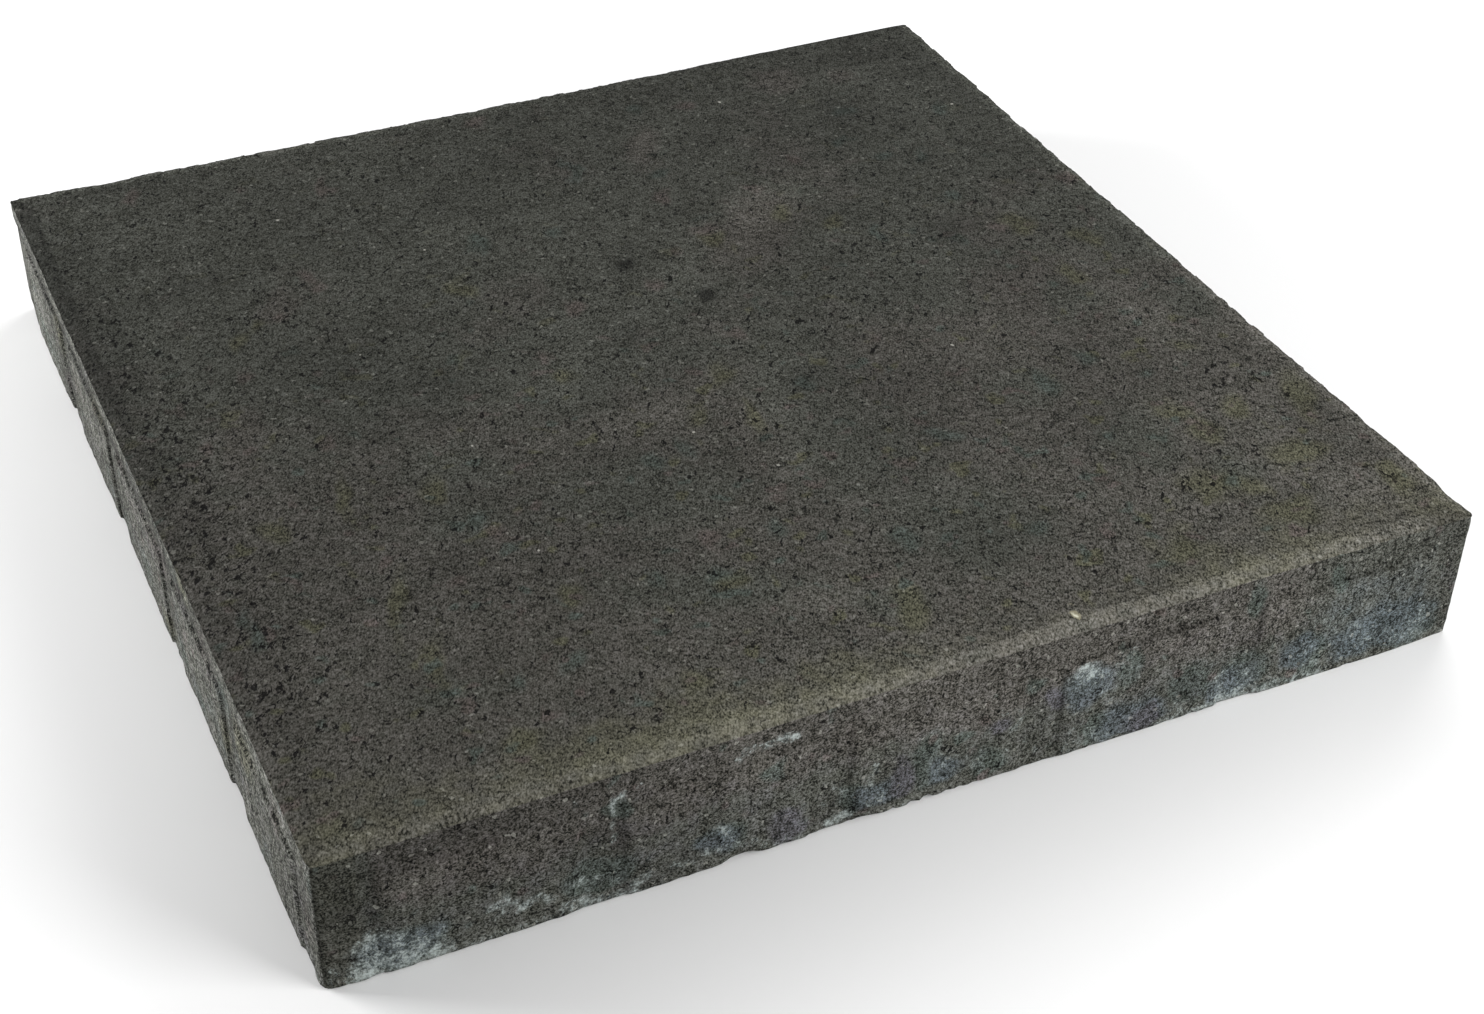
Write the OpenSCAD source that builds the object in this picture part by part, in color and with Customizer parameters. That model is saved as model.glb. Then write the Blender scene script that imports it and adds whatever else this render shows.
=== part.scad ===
// Square concrete paving slab, cast in one piece.
// It lies flat, wearing face up. The origin is at the centre of the bed face,
// +Z is up, and X and Y run along the sides.
// Each side carries a row of shallow spacer panels that butt against the next
// slab, with a plain lip above them and a worn bevel along the top edge.

/* [Slab] */
// Length along X, over the spacer panels, in mm
slab_len = 400; // [300:10:600]
// Width along Y, over the spacer panels, in mm
slab_wid = 400; // [300:10:600]
// Thickness, in mm
slab_thk = 50; // [40:1:80]
// Radius of the four upright corners, in mm
corner_r = 2.5; // [1:0.5:10]

/* [Top edge] */
// Width of the worn bevel along the top edges, in mm
bevel_w = 6; // [2:0.5:12]
// Depth of the worn bevel, in mm
bevel_d = 0.4; // [0.2:0.1:4]

/* [Spacer panels] */
// Number of spacer panels on each side
panels = 5; // [3:1:7]
// Plain length between a slab corner and the first panel, in mm
end_margin = 19.5; // [12:0.5:30]
// Width of the groove between two panels, in mm
groove_w = 12.5; // [8:0.5:20]
// How far the panels stand out from the side, in mm
proud = 1; // [0.5:0.1:3]
// Width of the sloped flanks of a panel, in mm
flank_w = 0.6; // [0.3:0.1:3]
// Height of the plain lip above the panels, in mm
lip_h = 11.5; // [8:0.5:16]
// Height of the sloped ledge at the top of a panel, in mm
ledge_h = 0.5; // [0.3:0.1:4]

/* [Colour] */
// Colour of the concrete
concrete = [0.25, 0.25, 0.25]; // [0:0.01:1]

/* [Hidden] */

$fn = 48;

// Size of the body behind the panels
body_len = slab_len - 2 * proud;
body_wid = slab_wid - 2 * proud;

// How far a panel's root reaches into the body, so that the two fuse
root = 3;

// Height at which the panels' ledge meets the body
panel_top = slab_thk - lip_h;

// Width of one panel at its root, on a side of the given length
function panel_width(side) =
    (side - 2 * end_margin - (panels - 1) * groove_w) / panels;

// Middle of panel i along a side of the given length
function panel_mid(side, i) =
    -side / 2 + end_margin + panel_width(side) / 2
    + i * (panel_width(side) + groove_w);

// Upright block with rounded corners
module rounded_block(len, wid, thk, r) {
    union() {
        translate([-len / 2 + r, -wid / 2, 0]) cube([len - 2 * r, wid, thk]);
        translate([-len / 2, -wid / 2 + r, 0]) cube([len, wid - 2 * r, thk]);
        for (sx = [-1, 1], sy = [-1, 1])
            translate([sx * (len / 2 - r), sy * (wid / 2 - r), 0])
                cylinder(r = r, h = thk);
    }
}

// Section across the slab, with the bevel on both top edges,
// drawn with its span along X and its height along Y
module bevelled_section(span) {
    polygon([
        [-span / 2, 0],
        [span / 2, 0],
        [span / 2, slab_thk - bevel_d],
        [span / 2 - bevel_w, slab_thk],
        [-span / 2 + bevel_w, slab_thk],
        [-span / 2, slab_thk - bevel_d]
    ]);
}

// Bar with the bevelled section, running along Y
module bevelled_bar(span, run) {
    translate([0, run / 2, 0]) rotate([90, 0, 0])
        linear_extrude(height = run) bevelled_section(span);
}

// The slab without its spacer panels
module slab_body() {
    intersection() {
        rounded_block(body_len, body_wid, slab_thk, corner_r);
        bevelled_bar(body_len, body_wid + 2);
        rotate([0, 0, 90]) bevelled_bar(body_wid, body_len + 2);
    }
}

// Plan of one panel: its root runs along X at y = root, its face is at y = 0
// and looks towards -Y
module panel_plan(w) {
    polygon([
        [-w / 2, root + proud],
        [-w / 2, proud],
        [-w / 2 + flank_w, 0],
        [w / 2 - flank_w, 0],
        [w / 2, proud],
        [w / 2, root + proud]
    ]);
}

// Row of panels for a side of the given length. The panels' faces lie in the
// plane y = 0 and look towards -Y; their tops slope back to the body.
module panel_row(side) {
    w = panel_width(side);
    intersection() {
        for (i = [0 : panels - 1])
            translate([panel_mid(side, i), 0, 0])
                linear_extrude(height = panel_top) panel_plan(w);
        translate([side / 2, 0, 0]) rotate([90, 0, -90])
            linear_extrude(height = side)
                polygon([
                    [0, 0],
                    [-root - proud, 0],
                    [-root - proud, panel_top],
                    [-proud, panel_top],
                    [0, panel_top - ledge_h]
                ]);
    }
}

// The whole slab: body and four rows of spacer panels
module slab() {
    color(concrete)
    union() {
        slab_body();
        for (turn = [0, 180]) {
            rotate([0, 0, turn]) translate([0, -slab_wid / 2, 0])
                panel_row(slab_len);
            rotate([0, 0, turn + 90]) translate([0, -slab_len / 2, 0])
                panel_row(slab_wid);
        }
    }
}

slab();
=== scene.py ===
import math

import bpy
import numpy as np
from mathutils import Matrix, Vector


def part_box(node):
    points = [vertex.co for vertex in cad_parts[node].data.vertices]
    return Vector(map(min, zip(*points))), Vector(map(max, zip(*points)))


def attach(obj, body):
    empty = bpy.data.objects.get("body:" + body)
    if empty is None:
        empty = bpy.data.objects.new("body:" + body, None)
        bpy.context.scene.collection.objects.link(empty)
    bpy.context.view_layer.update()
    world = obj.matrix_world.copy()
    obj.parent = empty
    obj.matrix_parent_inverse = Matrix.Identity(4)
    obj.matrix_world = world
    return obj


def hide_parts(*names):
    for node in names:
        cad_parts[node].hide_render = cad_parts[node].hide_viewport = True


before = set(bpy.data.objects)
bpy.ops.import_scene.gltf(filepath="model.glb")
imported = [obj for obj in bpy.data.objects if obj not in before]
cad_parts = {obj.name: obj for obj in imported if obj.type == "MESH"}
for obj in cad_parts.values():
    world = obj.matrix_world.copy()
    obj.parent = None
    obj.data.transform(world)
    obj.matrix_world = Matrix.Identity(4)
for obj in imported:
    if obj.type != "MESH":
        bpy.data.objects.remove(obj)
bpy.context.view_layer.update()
lo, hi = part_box("slab")

MM = 0.001

# ---------------------------------------------------------------------------
# Sizes in mm, as in the construction: the faces of the spacer panels are the
# slab's overall size, and the body lies PROUD behind them.
# ---------------------------------------------------------------------------
HALF = (hi.x - lo.x) / 2 / MM  # 200, over the panels
THICK = (hi.z - lo.z) / MM  # 50
PROUD = 1.0
BODY = HALF - PROUD
END, GROOVE, FLANK = 19.5, 12.5, 0.6
PANELS = 5
PANEL = (2 * HALF - 2 * END - (PANELS - 1) * GROOVE) / PANELS
LEDGE_LO, LEDGE_HI = THICK - 12.0, THICK - 11.5
BEVEL_W, BEVEL_D = 6.0, 0.4
CORNER_R = 2.5


# ---------------------------------------------------------------------------
# Seeded noise
# ---------------------------------------------------------------------------
def hashed(ix, iy, iz, seed):
    h = (
        ix.astype(np.uint64) * np.uint64(0x9E3779B97F4A7C15)
        ^ iy.astype(np.uint64) * np.uint64(0xC2B2AE3D27D4EB4F)
        ^ iz.astype(np.uint64) * np.uint64(0x165667B19E3779F9)
        ^ np.uint64(seed * 0x27D4EB2F165667C5 & 0xFFFFFFFFFFFFFFFF)
    )
    h ^= h >> np.uint64(29)
    h *= np.uint64(0xBF58476D1CE4E5B9)
    h ^= h >> np.uint64(32)
    h *= np.uint64(0x94D049BB133111EB)
    h ^= h >> np.uint64(31)
    return (h >> np.uint64(11)).astype(float) / float(1 << 53)


def noise(p, size, seed):
    """Smooth value noise from -1 to 1. p is an array of points, size the spacing of its lattice, one number or three."""
    q = p / np.asarray(size, float)
    i = np.floor(q).astype(np.int64)
    f = q - i
    f = f * f * f * (f * (f * 6 - 15) + 10)
    out = 0.0
    for dx in (0, 1):
        for dy in (0, 1):
            for dz in (0, 1):
                w = (
                    (f[:, 0] if dx else 1 - f[:, 0])
                    * (f[:, 1] if dy else 1 - f[:, 1])
                    * (f[:, 2] if dz else 1 - f[:, 2])
                )
                out = out + w * hashed(
                    i[:, 0] + dx, i[:, 1] + dy, i[:, 2] + dz, seed
                )
    return out * 2 - 1


def layered(p, size, octaves, seed, gain=0.55):
    size = np.asarray(size, float)
    total, amp, norm = 0.0, 1.0, 0.0
    for k in range(octaves):
        total = total + amp * noise(p + 17.3 * k, size / 2.03**k, seed + 31 * k)
        norm += amp
        amp *= gain
    return total / norm


def cells(p, size, seed):
    """Distance to the nearest scattered point, in units of size, and that point's random number."""
    q = p / np.asarray(size, float)
    i = np.floor(q).astype(np.int64)
    best = np.full(len(p), 9.0)
    who = np.zeros(len(p))
    for dx in (-1, 0, 1):
        for dy in (-1, 0, 1):
            for dz in (-1, 0, 1):
                a, b, c = i[:, 0] + dx, i[:, 1] + dy, i[:, 2] + dz
                x = a + hashed(a, b, c, seed + 1)
                y = b + hashed(a, b, c, seed + 2)
                z = c + hashed(a, b, c, seed + 3)
                d = np.sqrt(
                    (x - q[:, 0]) ** 2 + (y - q[:, 1]) ** 2 + (z - q[:, 2]) ** 2
                )
                near = d < best
                best = np.where(near, d, best)
                who = np.where(near, hashed(a, b, c, seed + 4), who)
    return best, who


def step(a, b, x):
    t = np.clip((x - a) / (b - a), 0, 1)
    return t * t * (3 - 2 * t)


# ---------------------------------------------------------------------------
# The mesh: a grid on the top, rings down the bevel and the sides, and a grid
# underneath, all sharing one set of stations along each side.
# ---------------------------------------------------------------------------
def stations():
    """Positions along a side from -1 to 1, with lines on every panel flank."""
    cuts, counts = [0.0], []
    x = 0.0

    def run(length, count):
        nonlocal x
        x += length
        cuts.append(x)
        counts.append(count)

    near = 0.5  # close lines on both sides of a flank
    run(END - near, 15)
    for k in range(PANELS):
        for length in (near, FLANK / 2, FLANK / 2, near):
            run(length, 1)
        run(PANEL - 2 * (FLANK + near), 38)
        for length in (near, FLANK / 2, FLANK / 2, near):
            run(length, 1)
        last = k == PANELS - 1
        run(END - near if last else GROOVE - 2 * near, 15 if last else 10)
    out = []
    for a, b, n in zip(cuts[:-1], cuts[1:], counts):
        out += [a + (b - a) * j / n for j in range(n)]
    return np.array(out) / HALF - 1


T1 = stations()  # 300 a side
T_END = np.append(T1, 1.0)
T2 = np.stack([T1, (T_END[:-1] + T_END[1:]) / 2], 1).ravel()  # 600
TH = T1[::2]  # 150
TQ = T1[::4]  # 75
TURN = [(1, 0), (0, 1), (-1, 0), (0, -1)]  # along each side: front, right, back, left


def ring(half, radius, t):
    """A closed loop round the slab: points, outward normals, side number and distance along the side."""
    pts, nrm, side, along = [], [], [], []
    x = t * half
    over = np.clip((np.abs(x) - (half - radius)) / max(radius, 1e-9), 0, 1)
    ang = over * math.pi / 4 * np.sign(x)
    inner = np.where(over > 0, np.sign(x) * (half - radius), x)
    px = inner + radius * np.sin(ang)
    py = -(half - radius) - radius * np.cos(ang)
    nx, ny = np.sin(ang), -np.cos(ang)
    for k, (c, s) in enumerate(TURN):
        pts.append(np.stack([c * px - s * py, s * px + c * py], 1))
        nrm.append(np.stack([c * nx - s * ny, s * nx + c * ny], 1))
        side.append(np.full(len(t), k))
        along.append(x)
    return [np.concatenate(a) for a in (pts, nrm, side, along)]


verts, normals, kinds, sides, alongs, insets = [], [], [], [], [], []
faces, face_zone, face_side = [], [], []
total = 0


def put(p, n, kind, side, along, inset):
    global total
    verts.append(p)
    normals.append(n)
    kinds.append(np.full(len(p), kind))
    sides.append(side)
    alongs.append(along)
    insets.append(np.full(len(p), inset))
    first = total
    total += len(p)
    return np.arange(first, total)


def loop(half, z, t, up, kind, radius=CORNER_R):
    """A ring as vertices. up is how far its normal leans to +Z, from -1 to 1."""
    xy, n, side, along = ring(half, max(radius, 0.0), t)
    p = np.column_stack([xy, np.full(len(xy), z)])
    flat = math.sqrt(max(0.0, 1 - up * up))
    nn = np.column_stack([n * flat, np.full(len(xy), up)])
    return put(p, nn, kind, side, along, BODY - half)


def join(a, b, zone):
    """Quads between two rings of the same count, a outside or below b as seen from outside."""
    n = len(a)
    j = np.arange(n)
    k = (j + 1) % n
    for q in np.stack([a[j], a[k], b[k], b[j]], 1):
        faces.append(tuple(int(v) for v in q))
    face_zone.extend([zone] * n)
    face_side.extend((j * 4 // n).tolist())


def join_double(fine, coarse, zone, flip):
    """Triangles between a ring and one with half its points."""
    n = len(coarse)
    for j in range(n):
        a, b, c = fine[2 * j], fine[2 * j + 1], fine[(2 * j + 2) % (2 * n)]
        d, e = coarse[j], coarse[(j + 1) % n]
        for tri in ((a, b, d), (b, e, d), (b, c, e)):
            faces.append(tuple(int(v) for v in (tri[::-1] if flip else tri)))
            face_zone.append(zone)
            face_side.append(j * 4 // n)


def grid(ring_ids, t, z, up, zone, flip):
    """A tensor grid inside a square ring, whose vertices it shares."""
    n = len(t)
    tt = np.append(t, 1.0)
    ids = np.full((n + 1, n + 1), -1)  # [row y][column x]
    ids[0, :n] = ring_ids[:n]
    ids[:n, n] = ring_ids[n : 2 * n]
    ids[n, n:0:-1] = ring_ids[2 * n : 3 * n]
    ids[n:0:-1, 0] = ring_ids[3 * n : 4 * n]
    half = -float(all_xy(ring_ids)[:, 1].min())
    # The stations run the other way on the back and left sides, so the grid
    # uses the front's across and the right's up.
    xs = tt * half
    gx, gy = np.meshgrid(xs[1:n], xs[1:n])
    m = (n - 1) ** 2
    p = np.column_stack([gx.ravel(), gy.ravel(), np.full(m, z)])
    nn = np.tile([0, 0, float(up)], (m, 1))
    inner = put(p, nn, 0 if up > 0 else 2, np.zeros(m, int), gx.ravel(), 20)
    ids[1:n, 1:n] = inner.reshape(n - 1, n - 1)
    for r in range(n):
        for c in range(n):
            q = (ids[r, c], ids[r, c + 1], ids[r + 1, c + 1], ids[r + 1, c])
            faces.append(tuple(int(v) for v in (q[::-1] if flip else q)))
            face_zone.append(zone)
            face_side.append(0)


def all_xy(ids):
    return np.concatenate(verts)[ids][:, :2]


TOP, SIDE, UNDER = 0, 1, 2

# Top rings from the inside out, then down the side, then in underneath.
top_z = lambda inset: THICK - BEVEL_D * max(0.0, 1 - inset / BEVEL_W) ** 1.4


def lean(inset):
    if inset >= BEVEL_W + 0.6:
        return 1.0
    return 0.99


r_grid = loop(BODY - 13.0, THICK, TH, 1.0, 0, radius=0.0)
prev = None
for i, inset in enumerate((11.0, 9.4, 8.0, 6.8)):
    r = loop(BODY - inset, THICK, T1, 1.0, 0, radius=0.0 if inset > 7 else 0.3)
    if prev is None:
        join_double(r, r_grid, TOP, False)
    else:
        join(r, prev, TOP)
    prev = r
band = None
for inset in (5.8, 4.5, 3.3, 2.2, 1.2, 0.45):
    r = loop(
        BODY - inset, top_z(inset), T2, lean(inset), 0, radius=CORNER_R * (1 - inset / 7)
    )
    if band is None:
        join_double(r, prev, TOP, False)
    else:
        join(r, band, TOP)
    band = r
r = loop(BODY, top_z(0) - 0.06, T2, 0.6, 0)
join(r, band, TOP)
band = r
r = loop(BODY, top_z(0) - 0.8, T2, 0.15, 1)
join(r, band, SIDE)
band = r
heights = [
    47.7, 46.5, 45.1, 43.5, 41.9, 40.4, 39.2, 38.5, 38.25, 38.0, 37.3, 35.9, 34.2,
    32.4, 30.6, 28.8, 27.0, 25.2, 23.4, 21.6, 19.8, 18.0, 16.2, 14.4, 12.6,
    10.8, 9.0, 7.2, 5.5, 3.9, 2.6, 1.4, 0.5,
]
prev = None
for z in heights:
    r = loop(BODY, z, T1, 0.0, 1)
    if prev is None:
        # seen from outside the finer ring is above
        join_double(band, r, SIDE, True)
    else:
        join(r, prev, SIDE)
    prev = r
r = loop(BODY - 0.35, 0.0, T1, -0.75, 2)
join(r, prev, SIDE)
prev = r
for inset in (1.4, 3.2, 5.6, 8.6):
    r = loop(BODY - inset, 0.0, T1, -1.0, 2, radius=max(0.0, CORNER_R - inset * 0.5))
    join(r, prev, UNDER)
    prev = r
r = loop(BODY - 12.5, 0.0, TH, -1.0, 2, radius=0.0)
join_double(prev, r, UNDER, True)
prev = r
r = loop(BODY - 18.0, 0.0, TQ, -1.0, 2, radius=0.0)
join_double(prev, r, UNDER, True)
under_ring = r

grid(r_grid, TH, THICK, 1, TOP, False)
grid(under_ring, TQ, 0.0, -1, UNDER, True)

P = np.concatenate(verts)
N = np.concatenate(normals)
K = np.concatenate(kinds)  # 0 top and bevel, 1 sides, 2 underside
S = np.concatenate(sides)  # 0 front, 1 right, 2 back, 3 left
A = np.concatenate(alongs)
U = A + HALF  # along a side, from its left end as seen from outside
D = THICK - P[:, 2]  # depth below the top
IN = BODY - np.maximum(np.abs(P[:, 0]), np.abs(P[:, 1]))  # inset from the side
XL = P[:, 0] + HALF  # across the top, from the left
YB = HALF - P[:, 1]  # down the top, from the back


def spot(x, y, x0, y0, r, r2=None, turn=0.0):
    """A soft round or oval blob: 1 in the middle, 0 outside."""
    c, s = math.cos(math.radians(turn)), math.sin(math.radians(turn))
    dx, dy = x - x0, y - y0
    a, b = (c * dx + s * dy) / r, (c * dy - s * dx) / (r2 or r)
    return 1 - step(0.0, 1.0, np.sqrt(a * a + b * b))


def stroke(x, y, x0, y0, x1, y1, r):
    """A soft line from one point to another."""
    vx, vy = x1 - x0, y1 - y0
    t = np.clip(((x - x0) * vx + (y - y0) * vy) / max(vx * vx + vy * vy, 1e-9), 0, 1)
    d = np.hypot(x - x0 - t * vx, y - y0 - t * vy)
    return 1 - step(0.25 * r, r, d)


def between(x, a, b, soft=1.5):
    return step(a - soft, a + soft, x) * (1 - step(b - soft, b + soft, x))


# --- the sides ------------------------------------------------------------
# A panel's flank is crisp at the end where the mould drew it sharply and
# softer at the other, and flanks and ledge wander a little.
flanks = np.zeros(len(P))
which = np.zeros(len(P), int)
# where painted shade goes on the sides
crease_shade = np.zeros(len(P))  # at the foot of a crisp flank
wander_u = np.zeros(len(P))
bend = 0.55 * layered(P * (0.2, 0.2, 1), (9, 9, 9), 2, 11) + 0.3 * noise(P, (60, 60, 60), 13)
for k in range(PANELS):
    a = END + k * (PANEL + GROOVE)
    b = a + PANEL
    crisp_left = (U - a) / FLANK
    crisp_right = (b - U) / FLANK
    soft_left = step(0.6, 2.8, U - a)
    soft_right = step(0.6, 2.8, b - U)
    eased_left = np.clip((U - a + 0.6) / 2.2, 0, 1)
    m = np.where(
        S == 3,
        np.minimum(soft_left, np.clip(crisp_right, 0, 1)),
        np.minimum(np.where(S == 0, eased_left, np.clip(crisp_left, 0, 1)), soft_right),
    )
    flanks = np.maximum(flanks, m)
    foot = np.where(S == 3, b, a)
    gap = np.where(S == 3, U - foot, foot - U)  # outwards from the flank's foot
    sharp = np.exp(-((gap / 1.1) ** 2)) * (gap > -0.7)
    crease_shade = np.maximum(crease_shade, np.where(S == 3, np.exp(-(((gap - 0.4) / 2.6) ** 2)), sharp))
    wander_u += np.exp(-(((U - a) / 5.0) ** 2)) + np.exp(-(((U - b) / 5.0) ** 2))
    which = np.where(np.abs(U - (a + PANEL / 2)) < PANEL / 2 + 6, k, which)
ledge = 1 - np.clip((P[:, 2] - LEDGE_LO) / (LEDGE_HI - LEDGE_LO), 0, 1)
ledge_wave = 0.8 * layered(P * (1, 1, 0), (24, 24, 24), 2, 12)
ledge_near = np.exp(-(((P[:, 2] - LEDGE_HI) / 4.5) ** 2))
height = 0.93 + 0.07 * hashed(S * 7 + which, which * 0, which * 0, 91)
relief = flanks * ledge * height
grooved = (1 - flanks) * ledge

drag = 0.5 + 0.5 * noise(P, (2.7, 2.7, 17), 21)  # marks of the mould being drawn
coarse = 0.5 + 0.5 * layered(P, (6.5, 6.5, 6.5), 2, 22)
fine = 0.5 + 0.5 * noise(P, (2.2, 2.2, 2.6), 23)
slow = 0.5 + 0.5 * layered(P, (60, 60, 45), 2, 24)
rough_side = 0.13 * drag + 0.17 * coarse + 0.19 * fine + 0.14 * slow
d1, w1 = cells(P, 11.0, 41)
pit_r = 0.10 + 0.12 * hashed((w1 * 1e6).astype(np.int64), S * 0, S * 0, 43)
side_pits = np.where(w1 < 0.20, 1 - step(0.35 * pit_r, pit_r, d1), 0.0)
rough_side += 0.45 * side_pits
rough_side *= 1 - 0.6 * (S == 0) * (1 - step(0.0, 5.0, P[:, 2]))
out = np.where(K == 1, PROUD * relief - rough_side, 0.0)

# --- the top --------------------------------------------------------------
undulate = 0.5 + 0.5 * layered(P, (70, 70, 70), 2, 31)
lumps = 0.5 + 0.5 * layered(P, (7.5, 7.5, 7.5), 2, 32)
crumbs = 0.5 + 0.5 * noise(P, (3.0, 3.0, 3.0), 33)
rough_top = 0.14 * undulate + 0.10 * lumps + 0.09 * crumbs
d2, w2 = cells(P * (1, 1, 0), 15.0, 51)
top_pits = np.where((w2 < 0.10) & (K == 0), 1 - step(0.05, 0.16, d2), 0.0)
rough_top += 0.35 * top_pits
out = np.where(K == 0, -rough_top, out)

# --- the underside --------------------------------------------------------
rough_under = (
    0.10
    + 0.25 * (0.5 + 0.5 * layered(P, (11, 11, 11), 2, 61))
    + 0.25 * (0.5 + 0.5 * layered(P, (60, 60, 60), 2, 62))
)
settle = step(0, 10, IN)
out = np.where(K == 2, -(0.02 + rough_under * (np.where(S == 0, 0.10, 0.35) * (1 - settle) + settle)), out)

# --- the crumbled arris round the top -------------------------------------
edge_z = THICK - BEVEL_D
dist = np.hypot(np.maximum(IN, 0), np.minimum(P[:, 2] - edge_z, 0) * (P[:, 2] < edge_z))
near_edge = np.exp(-((dist / 1.7) ** 2)) * (K < 2)
wide_edge = np.exp(-((dist / 3.6) ** 2)) * (K < 2)
Q = P * (1, 1, 0.5)
crumble = 0.5 + 0.5 * layered(Q, (5.2, 5.2, 5.2), 3, 71, gain=0.62)
crumb = 0.5 + 0.5 * layered(Q, (2.9, 2.9, 2.9), 2, 74, gain=0.7)
crumble = np.clip(0.62 * crumble + 0.38 * crumb - 0.28, 0, 1) ** 1.1 * 1.25
d3, w3 = cells(Q, 13.0, 73)
chip = np.where(w3 < 0.30, 1 - step(0.10, 0.34, d3), 0.0)
edge_loss = near_edge * (0.06 + 1.0 * crumble) + wide_edge * chip * 0.85
bites = 0.55 * cells(Q, 6.0, 75)[1] + 0.25 * cells(Q, 2.8, 76)[1]
bites = bites * np.where(S == 2, 1 - 0.92 * step(285, 325, XL), 1 - 0.4 * step(280, 330, YB))
edge_loss = np.where((S == 1) | (S == 2), 0.45 * edge_loss + near_edge * bites, edge_loss)
edge_loss = edge_loss * np.choose(S, [0.62, 1.0, 1.0, 0.75]) * np.where(S == 2, 1 - 0.5 * step(285, 325, XL), 1.0)
out = out - edge_loss

# larger worn places on the arris: (side, along from its left end, half length, depth)
LOSSES = [
    (2, 362, 7, 0.9), (2, 285, 4, 0.8), (2, 206, 5, 0.5), (2, 148, 4, 0.8), (2, 68, 4, 0.2),
    (1, 14, 6, 1.1), (1, 300, 5, 0.9), (1, 236, 6, 0.7), (1, 59, 4, 0.9), (1, 130, 4, 0.5), (1, 352, 4, 0.6),
    (0, 247, 4, 0.5), (0, 158, 5, 0.5), (0, 352, 6, 0.8), (0, 378, 5, 0.7), (0, 186, 4, 0.4),
    (3, 61, 4, 0.5), (3, 170, 5, 0.4), (3, 262, 4, 0.5), (3, 333, 5, 0.4),
]
for sd, u0, hw, dep in LOSSES:
    g = np.exp(-(((U - u0) / hw) ** 2)) * (S == sd)
    dep = dep * (0.6 if sd in (1, 2) else 1.0)
    out = out - dep * g * np.exp(-((dist / 2.4) ** 2)) * (K < 2)

out_xyz = N * out[:, None]

# corners: (x sign, y sign, how far the top corner is worn, the upright, and the bottom corner)
for cx, cy, top_w, mid_w, bot_w in ((1, -1, -0.1, -0.2, 0.0), (-1, -1, 0.2, 0.0, 0.6), (1, 1, 0.0, 0.0, 0.9), (-1, 1, -0.1, 0.0, 0.8)):
    away = np.hypot(P[:, 0] - cx * BODY, P[:, 1] - cy * BODY)
    pull = np.array([-cx, -cy, 0.0]) / math.sqrt(2)
    wt = top_w * np.exp(-((away / 4.5) ** 2)) * step(THICK - 9, THICK - 1.5, P[:, 2])
    wb = bot_w * np.exp(-((away / 4.5) ** 2)) * (1 - step(0.5, 6.5, P[:, 2]))
    wm = mid_w * np.exp(-((away / 4.5) ** 2)) * (1 - step(THICK - 9, THICK - 1.5, P[:, 2])) * step(0.5, 6.5, P[:, 2])
    out_xyz += pull * (wt + wm + wb)[:, None]
    out_xyz[:, 2] += 0.9 * bot_w * np.exp(-((away / 3.2) ** 2)) * (1 - step(0.0, 4.0, P[:, 2]))
    out_xyz[:, 2] -= 0.30 * max(top_w, 0) * np.exp(-((away / 4.0) ** 2)) * (K == 0)

# --- the ragged bottom edge ------------------------------------------------
# (side, along from its left end, half length, height)
CHIPS = [
    (0, 132.5, 5.5, 1.5), (0, 145, 6.0, 0.25), (0, 173, 4.6, 0.75), (0, 191, 1.4, 0.8), (0, 196.3, 1.4, 1.0), (0, 184, 1.3, 0.6),
    (0, 203.5, 1.2, 0.45), (0, 208, 1.2, 0.5),
    (0, 213, 1.5, 0.35), (0, 78, 3.5, 0.2), (0, 284.5, 1.5, 0.25), (0, 294, 1.6, 0.3), (0, 256, 1.2, 0.2),
    (0, 311, 7.5, 0.25), (0, 356, 1.6, 0.3), (0, 30, 1.5, 0.25), (0, 51, 1.3, 0.2), (0, 112, 1.6, 0.25),
    (3, 8, 7, 0.5), (3, 81, 7, 0.4), (3, 264, 3, 0.5), (3, 311, 6, 0.5),
    (1, 42, 5, 1.2), (1, 118, 3, 0.9), (1, 203, 6, 1.3), (1, 268, 3, 1.0), (1, 344, 4, 1.4),
    (2, 30, 4, 0.9), (2, 96, 6, 1.4), (2, 171, 3, 1.0), (2, 240, 4, 1.6), (2, 322, 5, 1.1),
]
low_edge = np.exp(-((np.hypot(np.maximum(IN, 0), P[:, 2]) / 3.0) ** 2))
rag = np.clip(0.5 + 0.5 * layered(P * (1, 1, 0), (7, 7, 7), 3, 81, gain=0.6) - 0.30, 0, 1)
fine_rag = np.clip(0.5 + 0.5 * layered(P * (1, 1, 0), (3.6, 3.6, 3.6), 2, 82, gain=0.6) - 0.42, 0, 1)
lift = np.where(S == 0, (0.10 * rag + 0.55 * fine_rag) * (1 - 0.7 * step(308, 330, XL)), 0.04 + 0.80 * rag)
lift = lift + (S == 0) * np.interp(
    XL, [20, 41, 61, 82, 102, 122, 143, 163, 184, 204, 224, 245, 265, 286, 306, 322, 400],
    [0, 0.15, 0.08, 0.18, 0.08, 0.30, 0.30, 0.65, 0.30, 0.62, 0.58, 0.32, 0.38, 0.25, 0.35, 0, 0],
)
for sd, u0, hw, h in CHIPS:
    lift = lift + h * np.exp(-(np.abs((U - u0) / hw) ** 3)) * (S == sd)
at_bottom = np.where(
    K == 1, 1 - step(0.0, 7.0, P[:, 2]), np.where(K == 2, 1 - step(0.0, 6.0, IN), 0.0)
)
out_xyz[:, 2] += lift * at_bottom
inward = np.where(K < 2, 0.45, 0.25) * lift * low_edge
out_xyz[:, :2] -= (N[:, :2] / np.maximum(np.hypot(N[:, 0], N[:, 1]), 1e-6)[:, None]) * (
    inward * (np.hypot(N[:, 0], N[:, 1]) > 0.05)
)[:, None]
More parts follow.
